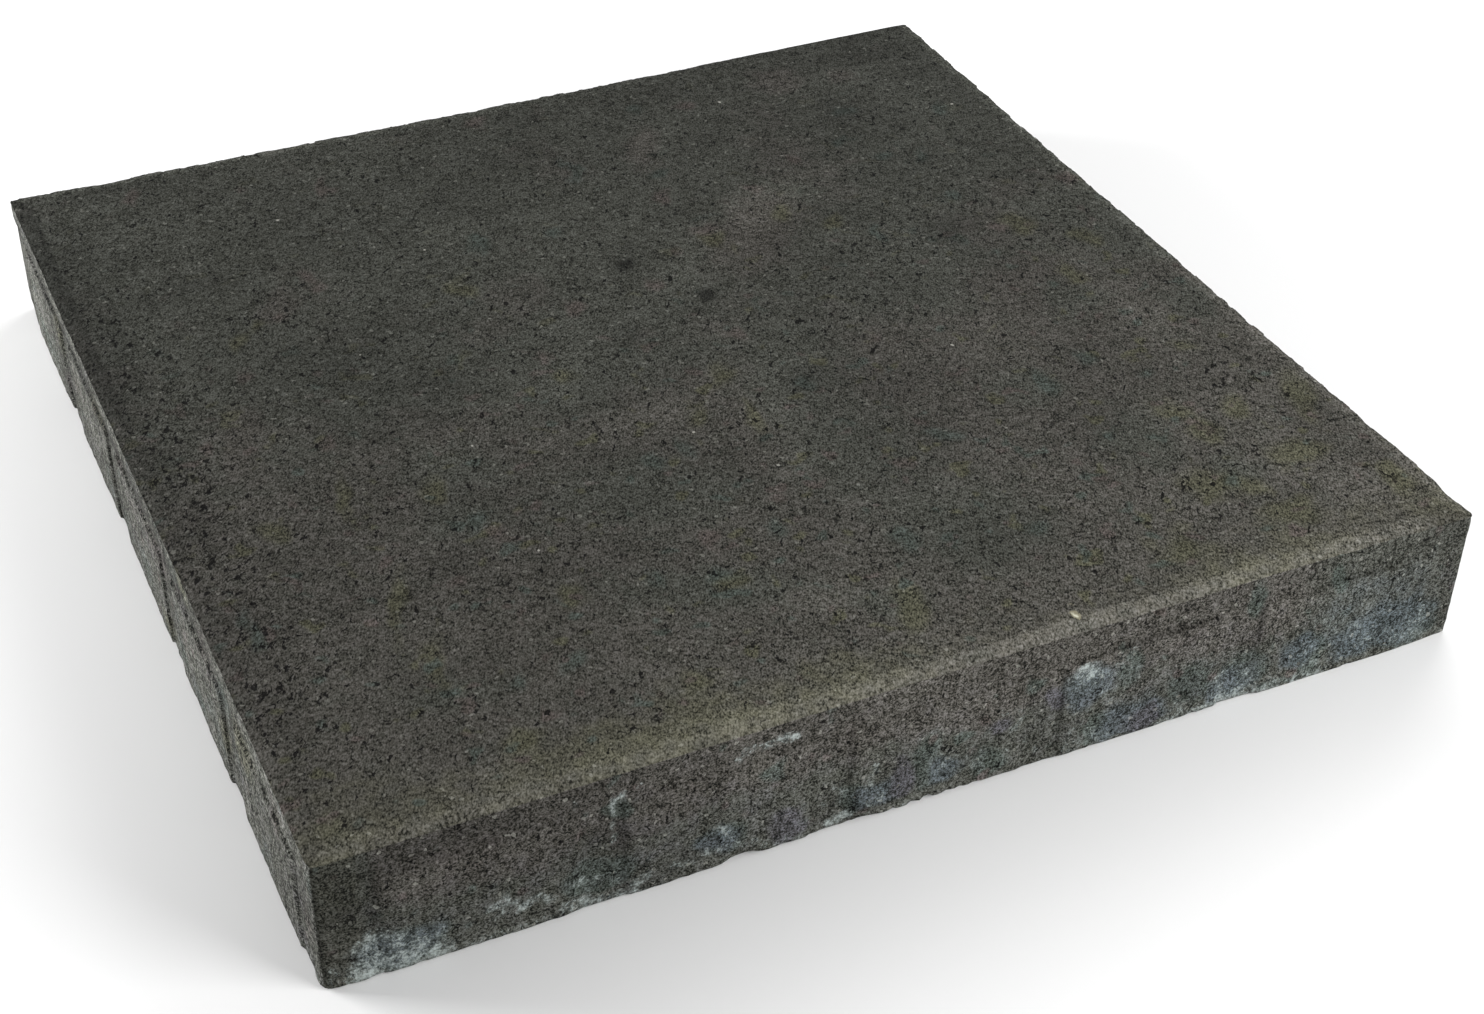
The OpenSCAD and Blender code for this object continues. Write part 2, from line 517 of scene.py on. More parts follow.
# a thin burr of cement paste left along parts of the bottom edge
burr = np.clip(layered(P * (1, 1, 0), (14, 14, 14), 2, 83) * 1.6 - 0.1, 0, 1)
burr = np.maximum(burr, np.exp(-(((U - 13) / 4.5) ** 2)) * (S == 0))
burr_w = burr * np.where(K == 1, np.exp(-((P[:, 2] / 2.2) ** 2)), 0.0) * (1 - flanks)
out_xyz[:, :2] += N[:, :2] * (0.8 * burr_w)[:, None]

# flanks and ledge wander: the mesh's own lines are shifted along the side
tangent = np.column_stack([-N[:, 1], N[:, 0], np.zeros(len(P))])
tangent /= np.maximum(np.linalg.norm(tangent, axis=1), 1e-6)[:, None]
on_side = K == 1
out_xyz += tangent * (bend * np.clip(wander_u, 0, 1) * on_side * step(0.5, 3.0, P[:, 2]))[:, None]
out_xyz[:, 2] += ledge_wave * ledge_near * on_side

# the left lip stands out a little towards the back corner
bulge = np.interp(U, [0, 100, 150, 230, 262], [0.85, 0.72, 0.46, 0.12, 0.0]) * (S == 3)
bulge = bulge * np.where(on_side, 1 - step(7.0, 11.0, D), 0.0)
at_left = np.interp(YB, [0, 100, 150, 230, 262], [0.85, 0.72, 0.46, 0.12, 0.0]) * (1 - step(0.0, 9.0, XL - PROUD))
out_xyz[:, 0] -= np.where(K == 0, at_left, bulge)
# and so does the back lip towards the right
out_xyz[:, 1] += (
    np.interp(XL, [290, 330, 385, 400], [0.0, 0.45, 0.9, 0.8]) * (K < 2) * (S == 2) * (1 - step(5.0, 11.0, D)) * (1 - step(0.0, 9.0, IN))
)

# the slab is not dead straight: a few tenths hollow along the back, the right and the left foot
hollow_back = np.interp(
    XL, [15, 42, 68, 95, 120, 147, 173, 200, 226, 252, 279, 305, 400],
    [0, 0, 0.30, 0.30, 0.20, 0.45, 0.50, 0.20, 0, 0.20, 0.25, 0, 0],
)
hollow_right = np.interp(
    YB, [15, 45, 80, 110, 145, 175, 205, 240, 270, 400], [0.20, 0.45, 0.45, 0.42, 0.50, 0.25, 0.25, 0.10, 0, 0]
)
hollow_left = np.interp(
    YB, [17, 50, 83, 117, 150, 183, 217, 250, 290], [0.08, 0.12, 0.30, 0.20, 0.35, 0.35, 0.16, 0.12, 0]
)
hollow_front = np.interp(
    XL, [0, 8, 35, 85, 130, 175, 225, 275, 320, 370, 392, 400], [0.15, 0.25, 0.35, 0.55, 0.9, 1.2, 1.35, 1.1, 1.2, 0.9, 0.3, 0.2]
)
lean = np.where(K == 0, 1.0, np.clip((P[:, 2] - 2.0) / (THICK - 4.0), 0, 1))
out_xyz[:, 1] += hollow_front * step(330, 400, YB) * lean * (K < 2)
out_xyz[:, 1] -= hollow_back * (1 - step(0, 60, YB))
out_xyz[:, 0] -= hollow_right * step(340, 400, XL)
out_xyz[:, 0] += hollow_left * (1 - step(0, 12, XL)) * (1 - step(0, 14, P[:, 2]))

out_xyz[:, 0] += (
    np.interp(YB, [262, 300, 340, 370, 392, 400], [0.0, 0.30, 0.42, 0.60, 0.60, 0.3]) * (K < 2) * (1 - step(5.0, 11.0, D)) * step(0.0, 9.0, 9 - np.maximum(400 - XL, 0))
)

V = P + out_xyz
V[:, 0] = np.clip(V[:, 0], -HALF, HALF)
V[:, 1] = np.clip(V[:, 1], -HALF, HALF)
V[:, 2] = np.clip(V[:, 2], 0.0, THICK)

# ---------------------------------------------------------------------------
# Where the finish changes, as numbers on the mesh that the material reads
# ---------------------------------------------------------------------------
front, left = (S == 0) & on_side, (S == 3) & on_side

# white lime bloom: strokes and patches on the front, (u, depth, u, depth, radius, strength)
BLOOM = [
    (13, 47, 36, 48, 6.0, 0.80), (16, 34, 17, 44, 2.6, 0.80), (12, 36, 14, 44, 2.2, 0.55),
    (20, 34, 23, 42, 2.2, 0.60), (28, 44, 36, 47, 4.6, 0.85), (22, 44, 30, 40, 3.6, 0.50),
    (80, 6, 80, 8, 1.3, 0.45), (91.4, 10, 91.5, 15, 0.85, 1.10), (91.5, 10, 95, 8.8, 0.8, 1.0),
    (91.4, 19.5, 91.4, 20.2, 0.9, 0.80), (91.2, 25, 91.2, 25.6, 0.9, 0.70), (91.4, 15, 91.3, 27, 0.6, 0.42), (100, 7.5, 100.5, 9, 1.3, 0.45),
    (57, 33, 57.5, 35.5, 1.6, 0.65), (52, 37, 60, 37.5, 1.9, 0.70), (53, 41, 57, 40, 1.6, 0.45),
    (61.5, 40.5, 63.5, 39.2, 1.7, 1.00), (64, 38.5, 67.5, 38.3, 1.3, 0.80), (68, 39.2, 71, 41, 1.6, 0.75),
    (79, 38, 85, 39.5, 1.9, 0.60), (76, 46, 83, 48, 3.2, 0.75), (86, 48, 100, 49.5, 2.0, 0.60),
    (97, 46, 101, 43.5, 2.2, 0.75), (102, 36.5, 102.2, 36.8, 1.3, 0.70), (92, 41, 93, 44, 1.9, 0.40),
    (131.5, 9.5, 131.7, 9.6, 1.4, 0.85), (133.8, 7.2, 137.5, 6.8, 1.4, 0.75), (140, 7.6, 146, 7.0, 1.5, 0.75),
    (145.5, 6.4, 150.5, 7.4, 2.0, 0.95), (125, 33, 129, 38, 1.5, 0.60), (120, 41.5, 125, 42.5, 2.0, 0.65),
    (110, 43, 116, 44, 2.0, 0.45), (128, 41, 136, 44, 3.2, 0.38), (141, 47, 152, 49, 3.2, 0.38),
    (153.5, 36, 153.6, 36.2, 1.4, 0.60), (152, 42, 155, 43, 1.7, 0.50), (163, 47.5, 168, 46, 2.6, 0.95),
    (164, 33, 168, 36, 1.4, 0.50), (177.5, 28, 175.5, 36, 1.6, 0.55), (176, 43.5, 179, 42, 2.0, 0.60),
    (187, 47, 189, 49.5, 1.8, 0.60), (196, 35, 212, 38, 6.5, 0.33), (213, 41.5, 213.2, 42, 1.6, 0.70),
    (224, 39.5, 224, 40, 1.6, 0.70), (226, 31, 229, 28.5, 1.6, 0.60), (222, 23.5, 229, 26, 1.5, 0.40),
    (231.5, 38.5, 231.7, 38.6, 1.4, 0.60), (235.5, 43.5, 235.7, 43.6, 1.3, 0.50), (239.3, 31.5, 239.4, 31.6, 1.3, 0.45),
    (242, 41, 242.2, 41.2, 1.3, 0.45), (250, 16.5, 253, 17, 4.2, 1.25), (248, 20, 256, 20, 5.5, 0.55),
    (258, 20, 261, 26, 3.8, 0.42), (263, 14.5, 270, 13.5, 2.0, 0.40), (266, 23, 272, 24, 3.2, 0.32),
    (246, 46, 250, 50, 2.3, 0.55), (255, 42, 262, 49, 3.5, 0.50), (287, 42, 291, 48, 2.5, 0.60),
    (295, 49, 302, 48, 2.5, 0.70), (305, 48, 326, 49, 3.8, 0.90), (305.5, 35, 305.5, 45, 2.0, 0.55),
    (318.5, 38, 319, 47, 2.0, 0.55), (324, 45, 332, 48, 2.4, 0.45), (335, 48, 345, 49, 2.9, 0.90),
    (341, 37, 343, 46, 2.3, 0.50), (345, 28, 356, 34, 4.6, 0.55), (362, 23, 363, 31, 2.4, 0.35),
    (362, 39, 369, 42, 2.1, 0.60), (376, 45, 384, 49, 4.2, 0.60), (386, 36, 386, 49, 2.9, 0.70),
    (391, 46, 397, 48, 2.6, 0.45), (4, 45, 15, 46, 4.6, 0.30), (20, 36, 34, 41, 5.5, 0.50), (44, 48.5, 74, 49.5, 2.6, 0.36),
    (246, 45, 262, 47, 3.0, 0.40), (303, 36, 304, 48, 2.2, 0.50), (313, 34, 315, 46, 2.4, 0.55), (337, 34, 339, 44, 2.2, 0.45),
    (350, 28, 353, 36, 3.0, 0.45), (359, 36, 361, 42, 2.0, 0.60), (372, 40, 377, 46, 3.0, 0.50), (380, 38, 384, 50, 3.4, 0.50),
    (262, 18, 270, 21, 3.0, 0.45), (258, 26, 261, 31, 3.4, 0.45), (247, 40, 251, 46, 3.0, 0.35), (220, 22, 228, 24, 1.8, 0.35),
]
bloom = np.zeros(len(P))
for a, b, c, d, r, s in BLOOM:
    s = s * np.interp((a + c) / 2, [0, 40, 70, 150, 300, 400], [0.95, 0.92, 0.88, 0.76, 0.70, 0.58])
    bloom = np.maximum(bloom, s * stroke(U, D, a, b, c, d, 1.25 * r + 0.4))
bloom = np.where(front, bloom, 0.0)
# elsewhere on the sides it is scattered low down
scatter = layered(P, (19, 19, 9), 3, 101, gain=0.6)
low = step(18, 48, D)
elsewhere = np.clip((scatter - 0.30 + 0.42 * low) * 2.2, 0, 1) * low
bloom = np.where(on_side & ~front, elsewhere * np.choose(S, [0, 0.65, 0.75, 0.25]), bloom)
foot_line = step(44, 50, D) * np.clip(layered(P * (1, 1, 0), (17, 17, 17), 2, 103) * 2 + 0.2, 0, 1)
bloom = np.maximum(bloom, np.where(front, foot_line * 0.5 * step(180, 300, U), 0.0))
bloom = np.where(K == 2, 0.22 + 0.3 * np.clip(layered(P, (55, 55, 55), 3, 104), 0, 1), bloom)


# Hues. Each is a faint cast over the grey: warm for a brownish grey, olive for
# dust and algae, teal, blue and violet for cement films, rose for sand.
bent_x = XL + 5.0 * layered(P * (1, 1, 0), (11, 11, 11), 2, 125)
bent_y = YB + 6.5 * layered(P * (1, 1, 0), (11, 11, 11), 2, 126)


def spots(listed, soft=1.35):
    out = np.zeros(len(P))
    for item in listed:
        x0, y0 = item[:2]
        r = item[2] if len(item) > 2 else 7.5
        r2 = item[3] if len(item) > 3 else r
        turn = item[4] if len(item) > 4 else 15.0
        out = np.maximum(out, spot(bent_x, bent_y, x0, y0, r * soft * 0.85, r2 * soft * 1.15, turn))
    return out


on_top = K == 0
ragged = 8 * layered(P, (15, 15, 15), 3, 121)
broad = 26 * layered(P, (52, 52, 52), 3, 124)

warm = 0.55 * step(-0.15, 0.55, layered(P, (48, 48, 48), 3, 131))
warm = np.maximum(warm, spots([
    (258, 140, 60, 26, -45), (245, 60, 14, 22), (322, 28, 22, 16), (347, 35, 10, 10), (75, 120, 17, 17),
    (40, 200, 13, 40), (340, 220, 55, 34),
], 1.2))
warm = np.maximum(warm, 0.66 * step(188, 232, YB + 1.5 * ragged + broad))
for x0, y0, r, r2 in (
    (152, 278, 46, 24), (232, 225, 24, 46), (228, 285, 28, 34), (243, 336, 34, 30), (318, 318, 17, 22), (100, 240, 22, 16),
    (92, 268, 18, 14), (150, 330, 40, 14), (340, 345, 12, 12), (300, 275, 18, 14), (345, 230, 14, 18), (385, 250, 10, 20), (60, 345, 18, 10),
    (200, 360, 14, 10),
):
    warm = warm * (1 - 0.95 * spot(bent_x, bent_y, x0, y0, r * 1.3, r2 * 1.3, 20))
warm = np.where(front, 0.82 * (1 - step(18, 34, D + 1.2 * ragged)) * step(14, 22, U) * (1 - 0.8 * step(322, 352, U)), warm)
warm = np.where(left, 0.35, warm)

olive = spots([
    (140, 133), (55, 135, 5, 10), (65, 128), (290, 145, 8, 10), (240, 140), (275, 130), (155, 205), (205, 225, 8, 12),
    (203, 255, 7, 14), (355, 175, 12, 10), (375, 195), (355, 215), (365, 273, 10, 6), (35, 250), (60, 240, 4, 20),
    (90, 250), (110, 320), (60, 330, 8, 14), (340, 305, 14, 7), (362, 313), (340, 355, 12, 8),
    (300, 375, 12, 12), (328, 350, 18, 12), (366, 346, 18, 10), (345, 372, 22, 8), (388, 372, 10, 12), (385, 318, 10, 22), (345, 322, 10, 12),
    (205, 365, 7, 18), (130, 372, 12, 10), (75, 376, 12, 8), (160, 330, 6, 8), (60, 300, 5, 24), (185, 245, 6, 10),
])
along_front = np.interp(XL, [0, 12, 22, 60, 90, 180, 215, 280, 310, 345, 358, 378, 386, 400], [1.1, 1.1, 0.86, 0.86, 1.05, 0.95, 0.5, 0.6, 1.0, 0.95, 0.7, 0.7, 0.9, 1.05])
olive = np.maximum(0.98 * olive, 0.64 * along_front * step(358, 392, YB + 2.2 * ragged) * (0.80 + 0.20 * step(3.5, 8, IN)))
olive = np.where(on_top, olive, 0.0)
olive = np.where(front, 0.45 * (1 - step(13, 19, U)) + 0.35 * spot(U, D, 91, 14, 6, 9) + 0.35 * spot(U, D, 138, 14, 12, 18), olive)
olive = np.where(K == 2, 0.0, np.clip(olive, 0, 1))

teal = spots([
    (210, 65, 7, 16), (255, 30), (155, 105), (185, 112), (242, 82), (323, 88, 5, 8), (375, 77), (335, 65), (333, 105),
    (345, 110), (340, 145), (302, 160, 4, 8), (326, 172), (96, 270, 8, 12), (160, 262), (175, 258), (308, 275, 8, 10),
    (328, 265), (258, 288, 12, 5), (342, 284), (232, 240), (15, 295, 5, 12), (100, 345), (137, 317), (158, 325),
    (183, 315), (218, 335), (235, 340), (262, 345), (335, 350), (80, 350),
], 1.25) * on_top
rose = spots([
    (44, 20), (85, 30), (118, 40, 3, 16), (190, 15), (275, 35), (238, 100), (270, 110), (90, 108), (75, 125),
    (50, 158), (27, 195), (65, 208), (175, 162), (152, 190), (205, 160), (222, 142, 4, 8), (240, 132), (298, 95),
    (345, 175), (390, 150), (362, 100, 3, 20), (165, 308), (190, 300), (238, 298), (83, 300), (103, 278), (265, 225),
    (220, 203),
], 1.15) * on_top


side_bend = layered(P, (12, 12, 9), 2, 127)


def films(listed):
    """Casts on the front face, as boxes with soft edges: u from, u to, depth from, depth to."""
    out = np.zeros(len(P))
    for u0, u1, d0, d1 in listed:
        x = np.abs(U + 1.0 * ragged - (u0 + u1) / 2) / ((u1 - u0) / 2 + 1.5)
        y = np.abs(D + 5 * side_bend - (d0 + d1) / 2) / ((d1 - d0) / 2 + 1.5)
        out = np.maximum(out, 1.15 * (1 - step(0.3, 1.25, np.hypot(x, y))))
    return np.where(front, out, 0.0)


teal = np.maximum(teal, films([
    (10, 42, 33, 50), (74, 98, 31, 45), (118, 136, 32, 48), (140, 148, 14, 24), (164, 176, 30, 46), (189, 204, 22, 46),
    (209, 226, 33, 48), (228, 240, 12, 20), (252, 264, 35, 50), (262, 272, 12, 30), (283, 305, 28, 45), (306, 322, 30, 50),
    (330, 350, 28, 50), (345, 352, 5, 14), (352, 394, 30, 50), (310, 316, 2, 16), (86, 94, 10, 18),
]))
veil = films([
    (10, 40, 34, 48), (197, 208, 32, 45), (245, 263, 12, 34), (258, 286, 34, 48), (324, 345, 28, 44), (345, 392, 26, 50),
    (118, 132, 34, 46), (168, 186, 33, 46), (298, 320, 36, 50),
])
violet = films([
    (143, 156, 33, 50), (180, 190, 28, 45), (215, 225, 22, 32), (240, 246, 20, 30), (268, 280, 36, 50),
    (392, 400, 10, 48),
])
rose = np.maximum(rose, 0.33 * films([(320, 328, 30, 40), (100, 112, 14, 26), (30, 44, 12, 24), (22, 66, 4, 22), (95, 130, 6, 20), (160, 186, 4, 20), (274, 300, 8, 22)]))
violet = np.where(front, np.maximum(violet, 0.24 + 0.10 * step(14, 26, D) + 0.12 * side_bend), violet)
side_film = step(0.1, 0.6, layered(P, (24, 24, 14), 2, 161))
side_blush = step(0.1, 0.6, layered(P, (30, 30, 16), 2, 162))
violet = np.where(on_side & ~front, np.where(left, 0.28, 0.38) + 0.2 * side_blush, violet)
rose = np.where(on_side & ~front, np.where(left, 0.28, 0.45) * side_blush, rose)
veil = np.maximum(veil, 0.42 * films([(318, 402, 4, 52)]))
violet = violet * (1 - 0.6 * step(318, 345, U) * front)
veil = np.where(on_side & ~front, np.choose(S, [0, 0.45, 0.45, 0.12]) * step(16, 42, D) + 0.1 * side_film, veil)
teal = np.where(on_side & ~front, 0.50 * side_film, teal)
LEFT_TEAL = [(45, 38, 30, 9), (172, 40, 18, 9), (250, 36, 14, 12), (272, 42, 14, 9), (308, 12, 12, 10), (205, 36, 14, 7), (398, 8, 8, 8)]
LEFT_ROSE = [(105, 22, 20, 13), (80, 36, 10, 8), (175, 10, 16, 9), (195, 20, 16, 9), (226, 13, 40, 15), (286, 11, 24, 15), (258, 26, 10, 14), (390, 30, 10, 12), (365, 10, 10, 12)]
LEFT_OLIVE = [(145, 10, 20, 8), (230, 41, 12, 8), (330, 14, 22, 12), (305, 30, 10, 14), (78, 16, 10, 16), (262, 4, 12, 7)]
for listed, name in ((LEFT_TEAL, "teal"), (LEFT_ROSE, "rose"), (LEFT_OLIVE, "olive")):
    for u0, d0, r, r2 in listed:
        patch = (0.55 if name == "rose" else 0.70) * spot(U, D + 4 * side_bend, u0, d0, r * 1.4, r2 * 1.4) * left
        if name == "teal":
            teal = np.maximum(teal, patch)
        elif name == "rose":
            rose = np.maximum(rose, patch)
        else:
            olive = np.maximum(olive, patch)
veil = np.where(K == 2, 0.35, veil)
mottle = np.where(on_top, (0.45 + 0.55 * step(60, 320, YB)) * (1 - 0.8 * step(386, 393, YB)), np.where(front, 0.9, 0.7))

# pale band round the top, strongest along the front and fading inwards, narrow along the right and the back: partly
# worn and partly a painted highlight on the rounded edge; along the left edge a painted shade instead
nearest = np.argmax(
    np.stack([-P[:, 1], P[:, 0], P[:, 1], -P[:, 0]], 1), axis=1
)
inner = IN + 0.8 * layered(P, (11, 11, 11), 2, 141)
front_band = np.interp(inner, [0.6, 2.0, 5.2, 6.8, 8.3, 10.5, 14, 24], [0.92, 1.08, 1.0, 0.72, 0.40, 0.24, 0.13, 0.0])
tight = np.interp(inner, [0.6, 2.0, 5.2, 6.8, 8.2, 10.2, 15, 24], [1.0, 1.17, 1.04, 0.50, 0.02, 0.0, 0.0, 0.0])
front_band = front_band + (tight - front_band) * step(150, 260, XL) * (1 - 0.5 * spot(XL, YB, 322, 395, 50))
front_band = front_band * (0.42 + 0.58 * step(20, 120, XL)) * (1 - 0.42 * step(352, 366, XL)) * (1 - 0.92 * step(378, 386, XL))
front_band = np.maximum(front_band, 0.62 * (1 - step(1.8, 4.2, inner)) * (1 - step(60, 120, XL)))
narrow = 1 - step(3.6, 6.6, inner)
wear_and_edge_shading = np.choose(
    nearest,
    [
        front_band,
        0.42 * narrow * (1 + 0.45 * (1 - step(140, 200, YB))),
        0.40 * narrow * (1 - 1.3 * step(190, 330, XL)),
        # painted shade along the left edge of the top
        -(1 - step(5.8, 7.3, inner)) * (0.45 - 0.30 * step(120, 260, YB) - 0.20 * step(300, 370, YB)),
    ],
)
wear_and_edge_shading = np.where(on_top, wear_and_edge_shading, 0.0)
# the very lip of the arris is lighter: partly rubbed and partly a painted highlight where the rounded edge catches the
# light
rub_and_highlight = np.exp(-((dist / 0.9) ** 2)) * (K < 2) * (0.45 + 0.35 * noise(P, (9, 9, 9), 143))
wear_and_edge_shading = wear_and_edge_shading + np.choose(nearest, [np.where(on_top, rub_and_highlight * 0.1, 0.0), rub_and_highlight * 0.35, rub_and_highlight * 0.35, np.where(on_top, 0.0, rub_and_highlight * 0.6)])

# darker places: smudges on the top, and on the sides painted shade in the grooves, at the panels' feet and under the
# ledge
dark = np.minimum(2.2 * spot(XL, YB, 202.8, 141.6, 5.0, 7.0, 25), 1.0)
dark = np.maximum(dark, np.minimum(2.2 * spot(XL, YB, 222.2, 174.0, 5.2, 6.2, 25), 1.0))
dark = np.maximum(dark, 0.45 * spot(XL, YB, 209, 130, 9, 3.5, -60))
dark = np.maximum(dark, 0.45 * spot(XL, YB, 348, 380, 7))
dark = np.maximum(dark, 0.26 * step(378, 386, XL) * step(386, 391, YB))
dark = np.maximum(dark, 0.16 * between(XL, 16, 52, 8) * between(IN, 6, 15, 2))
dark = np.maximum(dark, 0.4 * spot(XL, YB, 105, 210, 8))
dark = np.maximum(dark, 0.35 * spot(XL, YB, 155, 37, 12, 8))
dark = np.where(on_top, dark, 0.0)
crease_shade = crease_shade * step(11.5, 14, D) * (1 - 0.5 * step(30, 46, D)) * (0.55 + 0.45 * layered(P, (12, 12, 9), 2, 145))
# a line of painted shadow along the ledge, 12 mm down
ledge_shadow = np.exp(-(((D - 12.0) / 1.5) ** 2))
# on the front: painted shade in the grooves, at the crisp flanks' feet, in lines at three flanks' feet and under the
# ledge in two stretches
dark = np.where(
    front,
    0.06 * grooved + 0.46 * crease_shade * (1 - 0.45 * step(28, 40, D))
    + 0.52 * between(U + 0.6 * side_bend, 17.4, 18.8, 0.6) * step(4, 9, D) * (1 - step(28, 34, D))
    + 0.34 * between(U + 0.6 * side_bend, 316.6, 318.4, 0.8) * step(4, 9, D) * (1 - step(40, 46, D))
    + 0.22 * between(U + 0.6 * side_bend, 242.2, 243.8, 0.8) * step(14, 18, D) + 0.45 * ledge_shadow * np.maximum(
        np.interp(U, [255, 266, 296, 304], [0, 1, 1, 0]), np.interp(U, [336, 344, 362, 370], [0, 1, 1, 0])
    ),
    dark,
)
# on the left: painted shade in the grooves, at the flanks' feet and under the ledge
dark = np.where(left, 0.32 * grooved + 0.40 * crease_shade + 0.44 * ledge_shadow * (0.6 + 0.4 * layered(P, (25, 25, 25), 2, 146)), dark)
# and a patch of painted shadow by the first groove's flank
dark = dark + 0.48 * left * step(68, 73, U) * (1 - step(80, 84, U)) * step(13, 18, D)
# on the right and the back: painted shade in the grooves, at the flanks' feet and under the ledge
dark = np.where((S == 1) & on_side | (S == 2) & on_side, 0.20 * grooved + 0.40 * crease_shade + 0.30 * ledge_shadow, dark)
dark = np.clip(dark, 0, 1)

# broad tone of the top: light and dark patches
tone = 0.10 * layered(P, (62, 62, 62), 3, 151) + 0.10 * layered(P, (17, 17, 17), 2, 152)
PATCHES = [
    (222, 391.5, 27, 2.4, 0, -0.32), (272, 391.5, 24, 2.4, 0, -0.28), (178, 389.5, 20, 2.6, 0, -0.26),
    (148, 95, 17, 13, 20, 0.20), (160, 196, 15, 8, -50, 0.24), (150, 210, 8, 12, 0, 0.18),
    (290, 108, 34, 10, -12, 0.20), (255, 140, 32, 13, -50, 0.20), (215, 160, 22, 9, -55, 0.12),
    (248, 62, 14, 26, 15, 0.14), (305, 240, 26, 18, 20, 0.14), (365, 255, 14, 30, 0, 0.22),
    (360, 338, 28, 24, 0, 0.26), (372, 375, 30, 20, 0, 0.22), (213, 255, 10, 34, 8, 0.14),
    (100, 232, 16, 12, 0, 0.12), (190, 352, 24, 12, 0, 0.12), (278, 322, 14, 7, 0, 0.14),
    (340, 30, 30, 26, 0, 0.10), (45, 60, 30, 26, 0, 0.08), (345, 310, 30, 20, 0, 0.16),
    (95, 165, 48, 40, 0, -0.16), (250, 270, 28, 40, 0, -0.10), (330, 70, 34, 26, 0, -0.12),
    (120, 75, 60, 30, 0, -0.10), (200, 40, 50, 26, 0, -0.12), (10, 200, 14, 210, 0, -0.14),
    (310, 300, 20, 22, 0, -0.10), (150, 290, 60, 34, 0, -0.06), (385, 60, 20, 60, 0, -0.08),
    (270, 122, 36, 18, 0, 0.27), (328, 166, 17, 15, 0, -0.32), (115, 190, 24, 14, 0, -0.24), (166, 238, 26, 12, 0, 0.27),
    (236, 238, 20, 12, 0, -0.24), (186, 190, 10, 12, 0, -0.22), (246, 345, 34, 22, 0, -0.22), (232, 141, 12, 12, 0, 0.20),
    (12, 260, 12, 16, 0, 0.20), (312, 356, 16, 13, 0, 0.20), (355, 20, 34, 12, 0, -0.18), (208, 18, 20, 12, 0, -0.18),
    (50, 92, 30, 12, 0, -0.18), (55, 318, 44, 22, 0, 0.13), (275, 20, 16, 10, 0, -0.16), (335, 200, 22, 14, 0, -0.14),
    (176, 144, 6, 7, 0, 0.14), (243, 109, 7, 6, 0, 0.10), (246, 273, 7, 6, 0, 0.16), (77, 174, 7, 6, 0, 0.15), (154, 189, 6, 7, 0, 0.16),
    (73, 125, 6, 7, 0, 0.14), (190, 248, 7, 6, 0, 0.12), (188, 24, 8, 6, 0, 0.14), (360, 120, 7, 7, 0, 0.13), (311, 24, 7, 6, 0, 0.14),
    (36, 320, 7, 7, 0, 0.12), (105, 236, 7, 6, 0, 0.12), (124, 26, 7, 6, 0, 0.12), (105, 139, 7, 7, 0, 0.12), (30, 277, 7, 7, 0, 0.12),
    (143, 54, 7, 7, 0, -0.14), (321, 276, 7, 7, 0, -0.14), (140, 350, 8, 7, 0, -0.14), (117, 250, 8, 7, 0, -0.14), (306, 209, 7, 7, 0, -0.13),
    (370, 338, 7, 8, 0, -0.13), (264, 150, 7, 7, 0, -0.14), (132, 136, 7, 7, 0, -0.12), (63, 274, 8, 7, 0, -0.12), (60, 171, 7, 6, 0, -0.11),
    (156, 295, 40, 14, 0, 0.06), (175, 350, 20, 12, 0, 0.14), (365, 66, 30, 34, 0, 0.14), (376, 142, 14, 12, 0, -0.20), (358, 198, 14, 20, 0, 0.17),
    (84, 205, 28, 14, 0, -0.13), (196, 212, 22, 11, 0, -0.15), (258, 248, 16, 18, 0, -0.15), (232, 306, 14, 14, 0, -0.17),
    (328, 262, 18, 11, 0, -0.13), (86, 284, 18, 11, 0, -0.14), (184, 286, 14, 11, 0, -0.15), (222, 158, 20, 14, 0, 0.14),
    (136, 66, 14, 14, 0, 0.14), (272, 358, 16, 11, 0, -0.14), (12, 335, 14, 14, 0, -0.14), (380, 305, 14, 16, 0, 0.14),
    (136, 238, 12, 11, 0, 0.16), (40, 130, 60, 16, 0, 0.06), (370, 225, 18, 14, 0, 0.10), (160, 70, 20, 20, 0, -0.08),
    (245, 345, 22, 20, 0, -0.03), (0, 90, 110, 130, 0, -0.15), (290, 290, 70, 50, 0, -0.06), (300, 10, 130, 26, 0, -0.08),
]
for x0, y0, r, r2, turn, amount in PATCHES:
    tone = tone + np.where(on_top, amount * spot(XL, YB, x0, y0, r * 1.25, r2 * 1.25, turn), 0.0)
# painted light: the top darker towards the back and lighter towards the front, and lighter to the right near the front
# and to the left near the back
painted_light_falloff = np.interp(YB, [0, 320, 355, 392, 400], [-0.22, 0.0, 0.10, 0.22, 0.22])
painted_light_falloff = painted_light_falloff + (XL - 200) * np.interp(YB, [120, 280], [-0.0003, 0.0006])
tone = np.where(on_top, tone + painted_light_falloff, tone)
